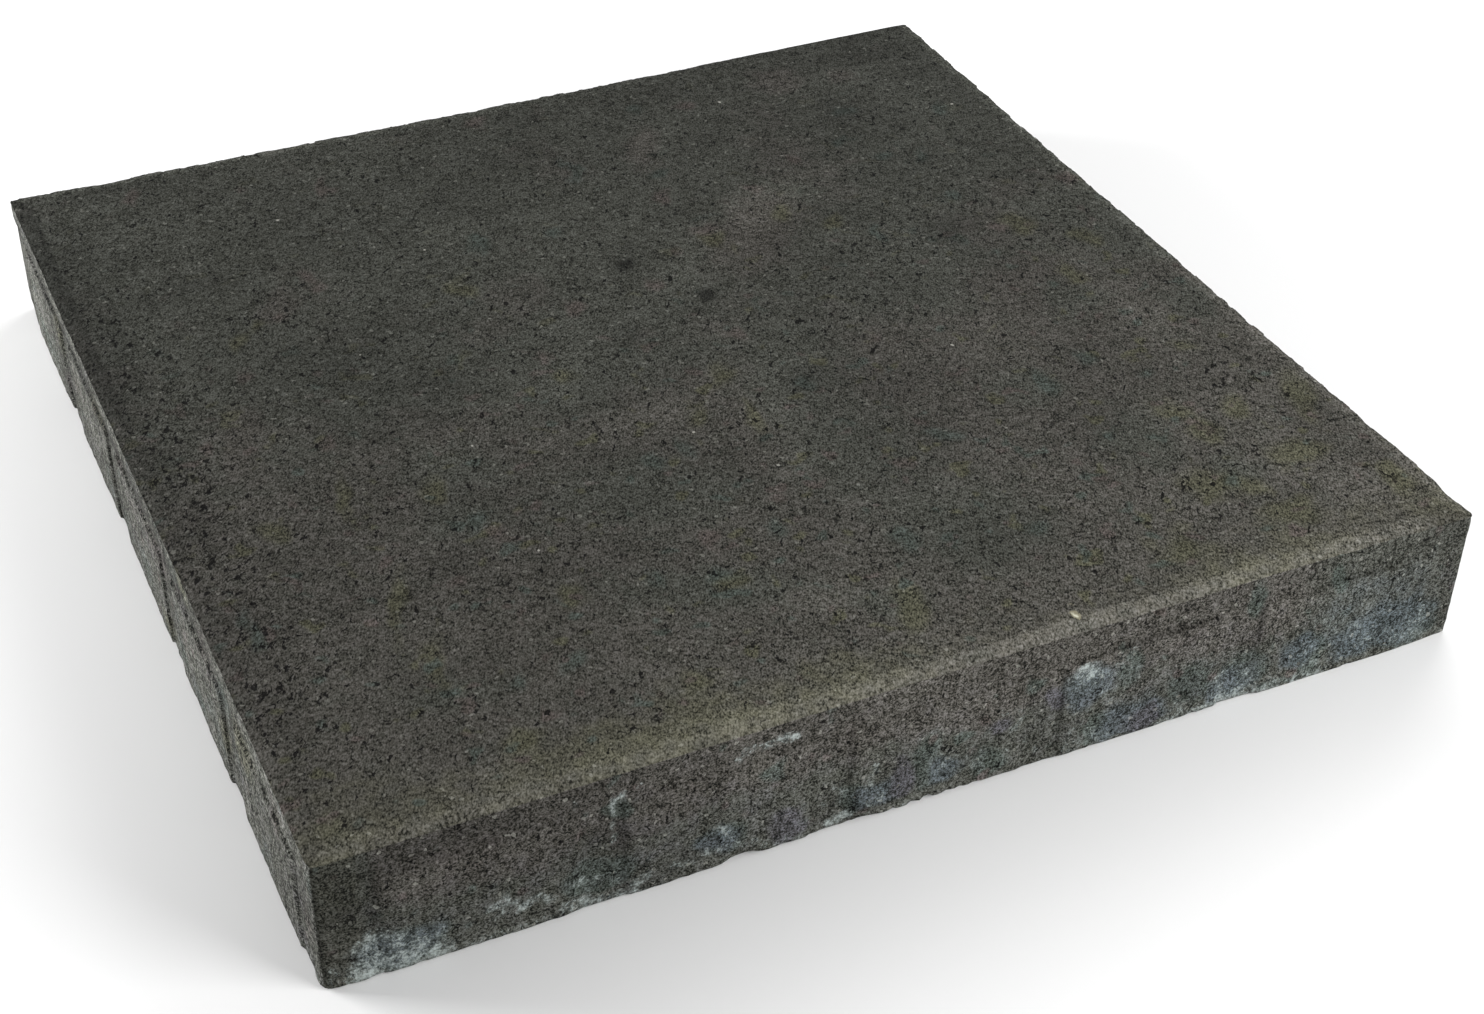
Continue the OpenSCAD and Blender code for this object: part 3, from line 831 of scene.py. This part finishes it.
# and of the sides
upper = np.interp(
    U,
    [0, 18, 22, 58, 66, 98, 106, 165, 182, 196, 212, 262, 278, 290, 310, 330, 350, 375, 385],
    [-0.30, -0.30, -0.34, -0.30, -0.16, -0.18, -0.02, 0.00, 0.20, 0.34, 0.06, 0.06, 0.14, 0.00, -0.06, -0.04, -0.14, -0.04, -0.30],
)
lower = np.interp(
    U,
    [0, 20, 60, 100, 122, 140, 200, 240, 262, 300, 360, 400],
    [-0.28, -0.03, 0.0, -0.03, 0.08, 0.26, 0.22, 0.14, 0.14, 0.16, 0.10, -0.04],
)
for u0, d0, r, r2, amount in (
    (290, 36, 12, 9, -0.26), (192, 33, 18, 9, -0.18), (210, 38, 14, 7, -0.18), (393, 38, 8, 11, -0.24), (378, 22, 22, 12, -0.10),
    (85, 25, 34, 9, -0.14), (10, 20, 12, 16, -0.16), (30, 16, 16, 8, 0.12), (155, 17, 14, 7, -0.10), (270, 5, 10, 6, -0.12),
    (88, 24, 9, 8, -0.14), (110, 42, 9, 6, -0.22), (170, 45, 10, 6, -0.50), (200, 9, 34, 3, -0.10), (10, 22, 10, 5, -0.16), (190, 38, 9, 8, -0.12), (290, 38, 8, 8, -0.18),
    (330, 35, 10, 8, -0.18), (350, 40, 10, 7, -0.10), (246, 18, 8, 6, 0.16), (262, 14, 9, 5, 0.12), (60, 44, 26, 7, 0.20), (250, 43, 14, 7, 0.14), (210, 38, 14, 7, -0.12), (270, 20, 12, 8, -0.12), (120, 43, 16, 6, -0.08),
):
    upper = upper + amount * spot(U, D, u0, d0, r * 1.2, r2 * 1.2)
    lower = lower + amount * spot(U, D, u0, d0, r * 1.2, r2 * 1.2)
tone = np.where(front, tone * 0.8 + upper + (lower - upper) * step(9, 15, D), tone)
tone = tone + front * 0.42 * step(45.8, 47.6, D) * step(4, 10, U) * (1 - step(58, 74, U))
# tone of the left face in bands and patches; the dip 7 to 11 mm down is painted shade along the ledge line, and the
# panels below are lighter
left_tone_and_ledge_shade = np.interp(D, [0, 5, 7, 11, 12.5, 14], [0.14, 0.14, -0.22, -0.28, 0.0, 0.30])
left_tone_and_ledge_shade = left_tone_and_ledge_shade + 0.34 * step(290, 350, U) * (1 - step(9, 13, D)) - 0.20 * step(30, 40, D) * (1 - step(170, 270, U))
left_tone_and_ledge_shade = left_tone_and_ledge_shade - 0.20 * (1 - step(170, 260, U)) * between(D, 4.5, 14.5) + 0.32 * step(240, 330, U) * between(D, 4.5, 15.0)
left_tone_and_ledge_shade = left_tone_and_ledge_shade + 0.20 * between(U, 60, 160, 20) * (D < 4.5) - 0.12 * between(U, 90, 180, 12) * between(D, 15, 48)
left_tone_and_ledge_shade = left_tone_and_ledge_shade + 0.14 * between(U, 165, 240, 6) * between(D, 9.5, 14.5) + 0.15 * between(U, 262, 310, 6) * between(D, 15, 32)
left_tone_and_ledge_shade = left_tone_and_ledge_shade + 0.16 * (1 - step(60, 72, U)) * step(30, 36, D) + 0.30 * step(378, 390, U) * step(30, 36, D)
left_tone_and_ledge_shade = left_tone_and_ledge_shade + 0.12 * between(U, 90, 170, 12) * between(D, 15, 32)
for u0, d0, r, r2, amount in (
    (42, 2, 20, 4, -0.42), (190, 2, 24, 4, 0.26), (170, 2, 8, 4, -0.2), (374, 8, 18, 4, 0.46), (35, 13, 22, 3, 0.32), (69, 25, 9, 14, -0.40),
    (130, 28, 10, 11, 0.14), (210, 28, 12, 12, 0.16), (35, 34, 26, 12, 0.16), (270, 28, 20, 10, 0.16), (130, 13, 9, 3, 0.26),
    (210, 13, 9, 3, 0.24), (231, 13, 8, 3, -0.28), (290, 13, 10, 3, 0.32), (330, 13, 9, 3, 0.24), (349, 13, 7, 3, -0.22),
    (150, 38, 8, 7, 0.20), (230, 38, 8, 7, 0.18), (330, 38, 9, 7, 0.24),
):
    left_tone_and_ledge_shade = left_tone_and_ledge_shade + amount * spot(U, D, u0, d0, r * 1.2, r2 * 1.2)
tone = np.where(left, tone * 0.7 + left_tone_and_ledge_shade, tone)
tone = np.where(on_side & ~front & ~left, tone + 0.10 * step(9, 15, D), tone)
# how rough the grain looks
tone = tone + np.where(on_top, 0.10 * rose - 0.06 * teal + 0.05 * (warm - 0.4), 0.0)
grit = np.interp(YB, [0, 100, 250, 400], [1.12, 1.06, 1.12, 1.14]) - 0.14 * step(280, 340, YB) * (1 - step(100, 180, XL))
grit = np.where(on_top, grit, np.where(front, 1.12 + 0.15 * step(250, 330, U), np.where(left, 1.75, 1.1)))
clump = np.where(on_top, np.interp(YB, [0, 100, 250, 400], [1.35, 1.25, 1.05, 1.0]), np.where(front, 0.8, 1.0))

# pores stand open along the left margin and in drifts
open_pores = 0.9 * step(4, 9, IN) * (1 - step(16, 34, XL)) * step(40, 120, YB) * (1 - step(350, 385, YB))
for x0, y0, r, r2, turn, amount in ((330, 345, 34, 20, -20, 1.0), (75, 120, 40, 16, -20, 0.7), (150, 150, 30, 16, 20, 0.6), (250, 205, 36, 18, 0, 0.6), (300, 165, 30, 16, -30, 0.6), (60, 300, 30, 18, 0, 0.5), (375, 300, 18, 26, 0, 0.6)):
    open_pores = np.maximum(open_pores, amount * spot(XL, YB, x0, y0, r * 1.2, r2 * 1.2, turn))
open_pores = np.maximum(open_pores, 0.7 * between(IN, 4.0, 11.0, 1.5) * (XL < 40) * step(20, 60, YB) * (1 - step(365, 390, YB)))
open_pores = open_pores - 0.9 * step(382, 392, YB)
open_pores = np.where(on_top, open_pores, np.where(on_side, np.where(front, np.where(D < 12, -0.35, -0.1), np.where(D < 12, -0.1, 0.2)), 0.5))

stone = np.where(
    on_top,
    np.maximum(
        stroke(XL, YB, 250.5, 390.2, 250.9, 392.2, 1.9),
        0.50 * stroke(XL, YB, 251.7, 385.4, 252.2, 387.2, 1.3),
    ),
    0.0,
)

# ---------------------------------------------------------------------------
# The slab's object
# ---------------------------------------------------------------------------
mesh = bpy.data.meshes.new("concrete_slab")
mesh.from_pydata((V * MM).tolist(), [], faces)
mesh.validate()
for name, values in (
    ("bloom", bloom),
    ("veil", veil),
    ("olive", olive),
    ("warm", warm),
    ("wear_and_edge_shading", wear_and_edge_shading),
    ("dark", dark),
    ("tone", tone),
    ("stone", stone),
    ("teal", teal),
    ("rose", rose),
    ("violet", violet),
    ("mottle", mottle),
    ("grit", grit),
    ("clump", clump),
    ("open", open_pores),
    ("upward", (K == 0).astype(float)),
):
    layer = mesh.attributes.new(name, "FLOAT", "POINT")
    layer.data.foreach_set("value", np.asarray(values, np.float32))
mesh.polygons.foreach_set("use_smooth", [True] * len(mesh.polygons))

# A map for textures: the top takes most of it, then the sides
uv = mesh.uv_layers.new(name="OFBake")
count = len(mesh.loops)
lv = np.zeros(count, np.int32)
mesh.loops.foreach_get("vertex_index", lv)
start = np.zeros(len(mesh.polygons), np.int32)
size = np.zeros(len(mesh.polygons), np.int32)
mesh.polygons.foreach_get("loop_start", start)
mesh.polygons.foreach_get("loop_total", size)
poly = np.repeat(np.arange(len(mesh.polygons)), size)
zone = np.array(face_zone)[poly]
fside = np.array(face_side)[poly]
px = np.zeros((count, 2))
scale = 706 / (2 * HALF)
x, y = P[lv, 0], P[lv, 1]
px[:, 0] = np.where(zone == TOP, 6 + (x + HALF) * scale, 0)
px[:, 1] = np.where(zone == TOP, 312 + (y + HALF) * scale, 0)
# along a side, so that a corner's two faces meet at the strips' ends
t = np.select(
    [fside == 0, fside == 1, fside == 2], [x, y, -x], -y
) + HALF
v = P[lv, 2]
under_scale = 280 / (2 * HALF)
px[:, 0] = np.where(zone == UNDER, 730 + (x + HALF) * under_scale, px[:, 0])
px[:, 1] = np.where(zone == UNDER, 10 + (y + HALF) * under_scale, px[:, 1])
for sd, base in ((0, 206), (1, 106), (2, 6)):
    m = (zone == SIDE) & (fside == sd)
    px[m, 0] = 6 + t[m] * scale
    px[m, 1] = base + v[m] * scale
m = (zone == SIDE) & (fside == 3)
px[m, 0] = 728 + v[m] * scale
px[m, 1] = 312 + t[m] * scale
uv.data.foreach_set("uv", (px / 1024).ravel())
mesh.update()

slab = bpy.data.objects.new("concrete_slab", mesh)
bpy.context.scene.collection.objects.link(slab)


# ---------------------------------------------------------------------------
# Concrete
# ---------------------------------------------------------------------------
class Tree:
    def __init__(self, material):
        material.use_nodes = True
        self.nt = material.node_tree
        self.nt.nodes.clear()
        self.place = 0

    def add(self, kind, **props):
        n = self.nt.nodes.new(kind)
        n.location = ((self.place % 12) * 190, -(self.place // 12) * 260)
        self.place += 1
        for k, v in props.items():
            setattr(n, k, v)
        return n

    def wire(self, value, socket):
        if isinstance(value, bpy.types.NodeSocket):
            self.nt.links.new(value, socket)
        else:
            socket.default_value = value

    def maths(self, op, a, b=None, c=None, clamp=False):
        n = self.add("ShaderNodeMath", operation=op, use_clamp=clamp)
        for i, v in enumerate((a, b, c)):
            if v is not None:
                self.wire(v, n.inputs[i])
        return n.outputs[0]

    def ramp(self, value, a, b, low=0.0, high=1.0, smooth=True):
        n = self.add("ShaderNodeMapRange", clamp=True)
        n.interpolation_type = "SMOOTHSTEP" if smooth else "LINEAR"
        self.wire(value, n.inputs["Value"])
        for k, v in (("From Min", a), ("From Max", b), ("To Min", low), ("To Max", high)):
            n.inputs[k].default_value = v
        return n.outputs["Result"]

    def mix(self, fac, a, b, mode="MIX"):
        n = self.add("ShaderNodeMix", data_type="RGBA", blend_type=mode)
        n.clamp_factor = True
        self.wire(fac, n.inputs[0])
        for v, s in ((a, n.inputs[6]), (b, n.inputs[7])):
            if isinstance(v, tuple):
                s.default_value = (*v, 1.0) if len(v) == 3 else v
            else:
                self.wire(v, s)
        return n.outputs[2]

    def attr(self, name):
        return self.add("ShaderNodeAttribute", attribute_name=name).outputs["Fac"]

    def noise(self, vec, size_mm, detail=2.0, rough=0.5, distort=0.0):
        n = self.add("ShaderNodeTexNoise", noise_dimensions="3D")
        self.wire(vec, n.inputs["Vector"])
        n.inputs["Scale"].default_value = 1000.0 / size_mm
        n.inputs["Detail"].default_value = detail
        n.inputs["Roughness"].default_value = rough
        n.inputs["Distortion"].default_value = distort
        return n.outputs["Fac"]

    def cells(self, vec, size_mm, feature="F1", spread=1.0):
        n = self.add("ShaderNodeTexVoronoi", voronoi_dimensions="3D", feature=feature)
        self.wire(vec, n.inputs["Vector"])
        n.inputs["Scale"].default_value = 1000.0 / size_mm
        n.inputs["Randomness"].default_value = spread
        return n

    def shifted(self, vec, by):
        n = self.add("ShaderNodeVectorMath", operation="ADD")
        self.wire(vec, n.inputs[0])
        n.inputs[1].default_value = (by, 0.0, 0.0)
        return n.outputs[0]

    def laid(self, vec):
        n = self.add("ShaderNodeVectorRotate", rotation_type="Z_AXIS")
        self.wire(vec, n.inputs["Vector"])
        n.inputs["Angle"].default_value = 0.45
        return self.scale_xyz(n.outputs[0], 1.0, 0.55, 1.0)

    def scale_xyz(self, vec, x, y, z):
        n = self.add("ShaderNodeVectorMath", operation="MULTIPLY")
        self.wire(vec, n.inputs[0])
        n.inputs[1].default_value = (x, y, z)
        return n.outputs[0]


def concrete():
    mat = bpy.data.materials.new("dark_cast_concrete")
    T = Tree(mat)
    at = T.add("ShaderNodeTexCoord").outputs["Object"]
    warp = T.add("ShaderNodeTexNoise", noise_dimensions="3D")
    T.wire(at, warp.inputs["Vector"])
    warp.inputs["Scale"].default_value = 420.0
    warp.inputs["Detail"].default_value = 1.0
    centred = T.add("ShaderNodeVectorMath", operation="SUBTRACT")
    T.wire(warp.outputs["Color"], centred.inputs[0])
    centred.inputs[1].default_value = (0.5, 0.5, 0.5)
    small = T.add("ShaderNodeVectorMath", operation="SCALE")
    T.wire(centred.outputs[0], small.inputs[0])
    small.inputs["Scale"].default_value = 0.0016
    bent = T.add("ShaderNodeVectorMath", operation="ADD")
    T.wire(at, bent.inputs[0])
    T.wire(small.outputs[0], bent.inputs[1])
    at2 = bent.outputs[0]
    upward = T.attr("upward")
    sideways = T.maths("SUBTRACT", 1.0, upward)

    # the finest grain lies a little stretched, as the paste was struck off
    lay = T.laid(at)
    lay2 = T.laid(at2)

    # sand and paste: every grain its own grey, from half a millimetre up
    n1 = T.noise(lay, 0.56, 1.0, 0.6)
    n2 = T.noise(lay, 1.0)
    n3 = T.noise(at, 2.6)
    n4 = T.noise(at, 6.0, 1.0)
    n5 = T.noise(at, 17.0, 1.0)
    grains = T.cells(at2, 1.05)
    rand = T.add("ShaderNodeSeparateColor")
    T.wire(grains.outputs["Color"], rand.inputs[0])
    clumps = T.maths("MULTIPLY_ADD", n3, 1.30, T.maths("MULTIPLY_ADD", n4, 0.60, -0.95))
    e = T.maths("MULTIPLY_ADD", clumps, T.attr("clump"), -2.3)
    e = T.maths("MULTIPLY_ADD", n1, 4.6, e)
    for n, k in ((n2, 2.7), (n5, 0.42), (rand.outputs[0], 0.60)):
        e = T.maths("MULTIPLY_ADD", n, k, T.maths("ADD", e, -k / 2))
    e = T.maths("MULTIPLY", e, T.ramp(sideways, 0.0, 1.0, 1.0, 1.20, smooth=False))
    # where the mould was drawn off, upright drags
    drag = T.noise(T.scale_xyz(at, 1, 1, 0.13), 1.7, 2.0, 0.55)
    drag_wide = T.noise(T.scale_xyz(at, 1, 1, 0.10), 5.0, 2.0, 0.6)
    drags = T.maths("MULTIPLY_ADD", drag, 1.0, T.maths("MULTIPLY_ADD", drag_wide, 0.9, -0.95))
    e = T.maths("MULTIPLY_ADD", drags, sideways, e)
    e = T.maths("MULTIPLY", e, T.maths("MULTIPLY", T.attr("grit"), 0.81))
    e = T.maths("MULTIPLY", e, T.ramp(T.attr("wear_and_edge_shading"), 0.5, 1.0, 1.0, 0.76))
    grain = T.maths("MAXIMUM", T.maths("ADD", e, 1.0), 0.12)
    grain = T.maths("MULTIPLY", grain, T.maths("MULTIPLY_ADD", T.attr("tone"), 0.885, 1.0))

    # open pores between the grains, crowded in some places
    pf = T.noise(lay2, 2.1, 2.0, 0.6, 0.4)
    limit = T.maths("MULTIPLY_ADD", T.attr("open"), 0.060, 0.0)
    limit = T.maths("ADD", limit, T.maths("MULTIPLY_ADD", n5, 0.10, -0.05))
    limit = T.maths("MULTIPLY_ADD", T.ramp(T.attr("wear_and_edge_shading"), 0.2, 0.9), -0.036, limit)
    level = T.maths("SUBTRACT", pf, limit)
    pore = T.ramp(level, 0.352, 0.330)
    deep = T.ramp(level, 0.332, 0.314)

    # and here and there the gaps between the coarser grains stand open
    edges = T.cells(lay2, 1.8, feature="DISTANCE_TO_EDGE").outputs["Distance"]
    runs = T.noise(T.shifted(lay2, 9.0), 3.4, 1.0, 0.5)
    runs = T.maths("SUBTRACT", runs, T.maths("MULTIPLY", T.attr("open"), 0.03))
    runs = T.maths("MULTIPLY_ADD", T.ramp(T.attr("wear_and_edge_shading"), 0.2, 0.9), 0.04, runs)
    gaps = T.maths("MULTIPLY", T.ramp(edges, 0.13, 0.05), T.ramp(runs, 0.345, 0.305))

    # hues, each near grey and equally light
    broken = T.maths("MULTIPLY_ADD", n4, 1.2, -0.6)
    mottle = T.attr("mottle")

    def cast(base, name, tint, low, high, most, seed=None, rare=0.0, share=mottle):
        amount = T.maths("ADD", T.attr(name), T.maths("MULTIPLY", broken, 0.45))
        if seed:
            patch = T.noise(T.shifted(at, seed), 9.0, 1.0, 0.5)
            amount = T.maths("MAXIMUM", amount, T.maths("MULTIPLY", T.ramp(patch, rare - 0.05, rare + 0.13), share))
        return T.mix(T.ramp(amount, low, high, 0.0, most), base, tint)

    base = T.mix(T.ramp(T.maths("ADD", T.attr("warm"), T.maths("MULTIPLY", broken, 0.5)), 0.15, 0.85), (0.0458, 0.0472, 0.0395), (0.0488, 0.0461, 0.0399))
    base = cast(base, "olive", (0.0500, 0.0496, 0.0312), 0.20, 0.95, 0.85, 3.0, 0.640, T.maths("MULTIPLY", mottle, upward))
    base = cast(base, "teal", (0.0396, 0.0484, 0.0412), 0.22, 0.95, 0.80, 5.0, 0.655)
    base = cast(base, "rose", (0.0534, 0.0445, 0.0398), 0.22, 0.95, 0.80, 7.0, 0.655)
    base = cast(base, "veil", (0.0424, 0.0508, 0.0526), 0.15, 1.0, 0.90)
    base = cast(base, "violet", (0.0488, 0.0477, 0.0517), 0.15, 1.0, 0.85)
    scaled = T.add("ShaderNodeVectorMath", operation="SCALE")
    T.wire(base, scaled.inputs[0])
    T.wire(grain, scaled.inputs["Scale"])
    colour = scaled.outputs[0]

    # paler on the edges, partly rubbed and partly a painted highlight, and darker where the value is under nothing, a
    # painted shade along the left edge
    wear_and_edge_shading = T.attr("wear_and_edge_shading")
    worn_and_highlit = T.maths("ADD", T.ramp(wear_and_edge_shading, 0.0, 1.0, smooth=False), T.maths("MULTIPLY", broken, T.ramp(wear_and_edge_shading, 0.0, 0.3, 0.0, 0.26)))
    worn_and_highlit = T.maths("MAXIMUM", worn_and_highlit, 0.0)
    lift = T.maths("MULTIPLY_ADD", worn_and_highlit, 0.84, 1.0)
    lift = T.maths("MULTIPLY", lift, T.ramp(wear_and_edge_shading, -0.45, 0.0, 0.63, 1.0, smooth=False))
    # darker with the smudges and with the painted shade of the sides
    lift = T.maths("MULTIPLY", lift, T.ramp(T.attr("dark"), 0.0, 1.0, 1.0, 0.41, smooth=False))
    # painted shade in the pores, deep pores and open gaps
    lift = T.maths("MULTIPLY", lift, T.ramp(pore, 0.0, 1.0, 1.0, 0.48, smooth=False))
    lift = T.maths("MULTIPLY", lift, T.ramp(deep, 0.0, 1.0, 1.0, 0.25, smooth=False))
    lift = T.maths("MULTIPLY", lift, T.ramp(gaps, 0.0, 1.0, 1.0, 0.30, smooth=False))
    final = T.add("ShaderNodeVectorMath", operation="SCALE")
    T.wire(colour, final.inputs[0])
    T.wire(lift, final.inputs["Scale"])
    # bright grains are a little cooler than dark ones
    cooler = T.add("ShaderNodeCombineXYZ")
    cooler.inputs[0].default_value = 1.0
    cooler.inputs[1].default_value = 1.0
    T.wire(T.ramp(e, -0.60, 0.75, 0.940, 1.065, smooth=False), cooler.inputs[2])
    cooled = T.add("ShaderNodeVectorMath", operation="MULTIPLY")
    T.wire(final.outputs[0], cooled.inputs[0])
    T.wire(cooler.outputs[0], cooled.inputs[1])
    colour = cooled.outputs[0]

    # a few light grains, rarer bits of pale stone, and one larger chip
    pale = T.ramp(rand.outputs[1], 0.986, 0.994)
    brighter = T.maths("MULTIPLY", pale, T.maths("MULTIPLY_ADD", worn_and_highlit, 1.6, T.maths("MULTIPLY_ADD", sideways, 0.35, 0.65)))
    colour = T.mix(brighter, colour, (0.085, 0.085, 0.076), mode="ADD")
    bits = T.cells(at2, 9.0)
    bit_rand = T.add("ShaderNodeSeparateColor")
    T.wire(bits.outputs["Color"], bit_rand.inputs[0])
    bit = T.maths(
        "MULTIPLY",
        T.ramp(bit_rand.outputs[0], 0.950, 0.955),
        T.ramp(bits.outputs["Distance"], 0.090, 0.060),
    )
    colour = T.mix(T.maths("MULTIPLY", bit, 0.85), colour, (0.300, 0.294, 0.264))
    stone = T.maths("ADD", T.attr("stone"), T.maths("MULTIPLY", T.maths("SUBTRACT", n2, 0.5), 0.9))
    colour = T.mix(T.ramp(stone, 0.32, 0.62, 0.0, 0.85), colour, (0.230, 0.215, 0.150))
    colour = T.mix(T.ramp(stone, 0.70, 1.05, 0.0, 0.9), colour, (0.560, 0.550, 0.440))

    # lime bloom: a thin haze with white crystals standing on the grains
    raw = T.attr("bloom")
    crust = T.noise(at2, 0.95, 3.0, 0.7)
    level = T.maths("MULTIPLY_ADD", crust, 1.9, T.maths("MULTIPLY_ADD", n3, 0.9, -1.40))
    level = T.maths("MULTIPLY_ADD", raw, 0.66, T.maths("ADD", level, -0.30))
    crystals = T.maths("MULTIPLY", T.ramp(level, 0.0, 0.55, smooth=False), T.ramp(raw, 0.06, 0.25))
    haze = T.maths("MULTIPLY", T.ramp(raw, 0.05, 1.0), T.ramp(n3, 0.25, 0.70, 0.35, 1.1))
    haze = T.maths("MULTIPLY", haze, T.ramp(pore, 0.0, 1.0, 1.0, 0.2))
    colour = T.mix(T.maths("MULTIPLY", haze, 0.33), colour, (0.150, 0.174, 0.168))
    colour = T.mix(T.maths("MULTIPLY", crystals, 0.74), colour, (0.375, 0.420, 0.406))

    # relief too fine for the mesh
    h = T.maths("MULTIPLY", n1, 0.00010)
    for n, k in ((n2, 0.00018), (n3, 0.00026), (n4, 0.00034), (pore, -0.00022), (deep, -0.00022)):
        h = T.maths("MULTIPLY_ADD", n, k, h)
    h = T.maths("MULTIPLY_ADD", T.maths("MULTIPLY", drag, sideways), 0.00030, h)
    bump = T.add("ShaderNodeBump")
    bump.inputs["Strength"].default_value = 1.0
    bump.inputs["Distance"].default_value = 1.0
    T.wire(h, bump.inputs["Height"])

    rough = T.ramp(n2, 0.3, 0.7, 0.82, 0.97)
    rough = T.maths("MULTIPLY_ADD", T.ramp(wear_and_edge_shading, 0.0, 1.0), -0.06, rough)

    shader = T.add("ShaderNodeBsdfPrincipled")
    T.wire(colour, shader.inputs["Base Color"])
    T.wire(rough, shader.inputs["Roughness"])
    T.wire(bump.outputs["Normal"], shader.inputs["Normal"])
    shader.inputs["Specular IOR Level"].default_value = 0.08
    end = T.add("ShaderNodeOutputMaterial")
    T.wire(shader.outputs[0], end.inputs["Surface"])
    return mat


mesh.materials.append(concrete())
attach(slab, "root")
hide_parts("slab")

# ---------------------------------------------------------------------------
# Floor, light and camera
# ---------------------------------------------------------------------------
floor_mesh = bpy.data.meshes.new("floor")
floor_mesh.from_pydata(
    [(-6, -6, -0.0001), (6, -6, -0.0001), (6, 6, -0.0001), (-6, 6, -0.0001)], [], [(0, 1, 2, 3)]
)
floor = bpy.data.objects.new("floor", floor_mesh)
bpy.context.scene.collection.objects.link(floor)
pale = bpy.data.materials.new("pale_floor")
pale.use_nodes = True
b = pale.node_tree.nodes["Principled BSDF"]
b.inputs["Base Color"].default_value = (0.86, 0.86, 0.86, 1)
b.inputs["Roughness"].default_value = 0.9
b.inputs["Specular IOR Level"].default_value = 0.1
floor_mesh.materials.append(pale)

scene = bpy.context.scene
scene.view_settings.view_transform = "Standard"
scene.view_settings.look = "None"
world = bpy.data.worlds.new("studio")
scene.world = world
world.use_nodes = True
sky = world.node_tree.nodes["Background"]
sky.inputs[0].default_value = (1.0, 1.0, 1.0, 1)
sky.inputs[1].default_value = 0.26

# soft boxes: name, azimuth and elevation of the side they stand on, distance,
# width, height, power. Azimuth 0 is in front (-Y), 90 to the right (+X).
LIGHTS = [
    ("left_box", -122, 12, 1.3, 0.7, 0.7, 33.0),
    ("front_right_low_box", 35, 12, 1.2, 0.7, 0.7, 14.0),
    ("front_right_box", 35, 30, 1.2, 0.7, 0.7, 5.0),
    ("back_right_box", 130, 35, 1.3, 0.8, 0.8, 8.5),
    ("top_box", 0, 89, 1.6, 1.4, 1.4, 3.0),
]
for name, az, el, away, w, hgt, power in LIGHTS:
    lamp = bpy.data.lights.new(name, "AREA")
    lamp.shape = "RECTANGLE"
    lamp.size, lamp.size_y = w, hgt
    lamp.energy = power
    o = bpy.data.objects.new(name, lamp)
    a, e = math.radians(az), math.radians(el)
    d = Vector((math.sin(a) * math.cos(e), -math.cos(a) * math.cos(e), math.sin(e)))
    o.location = Vector((0, 0, 0.02)) + d * away
    o.rotation_mode = "QUATERNION"
    o.rotation_quaternion = (-d).to_track_quat("-Z", "Y")
    scene.collection.objects.link(o)

# the camera stands where it sees the slab's corners as the order's view does
SIDE_M = 2 * HALF * MM
az, el, roll = math.radians(-25.667), math.radians(37.058), math.radians(1.214)
back = Vector((math.sin(az) * math.cos(el), -math.cos(az) * math.cos(el), math.sin(el)))
right = Vector((math.cos(az), math.sin(az), 0))
up = back.cross(right)
r2 = right * math.cos(roll) + up * math.sin(roll)
u2 = up * math.cos(roll) - right * math.sin(roll)
cam_data = bpy.data.cameras.new("camera")
cam = bpy.data.objects.new("camera", cam_data)
scene.collection.objects.link(cam)
cam.matrix_world = Matrix(
    (
        (r2.x, u2.x, back.x, 0),
        (r2.y, u2.y, back.y, 0),
        (r2.z, u2.z, back.z, 0),
        (0, 0, 0, 1),
    )
)
cam.location = (back * 2.2478 + right * 0.0585 + up * -0.0469) * SIDE_M
cam_data.sensor_fit = "HORIZONTAL"
cam_data.sensor_width = 36.0
cam_data.lens = 2408.8 / 1484 * 36.0
cam_data.clip_start, cam_data.clip_end = 0.01, 50
scene.camera = cam
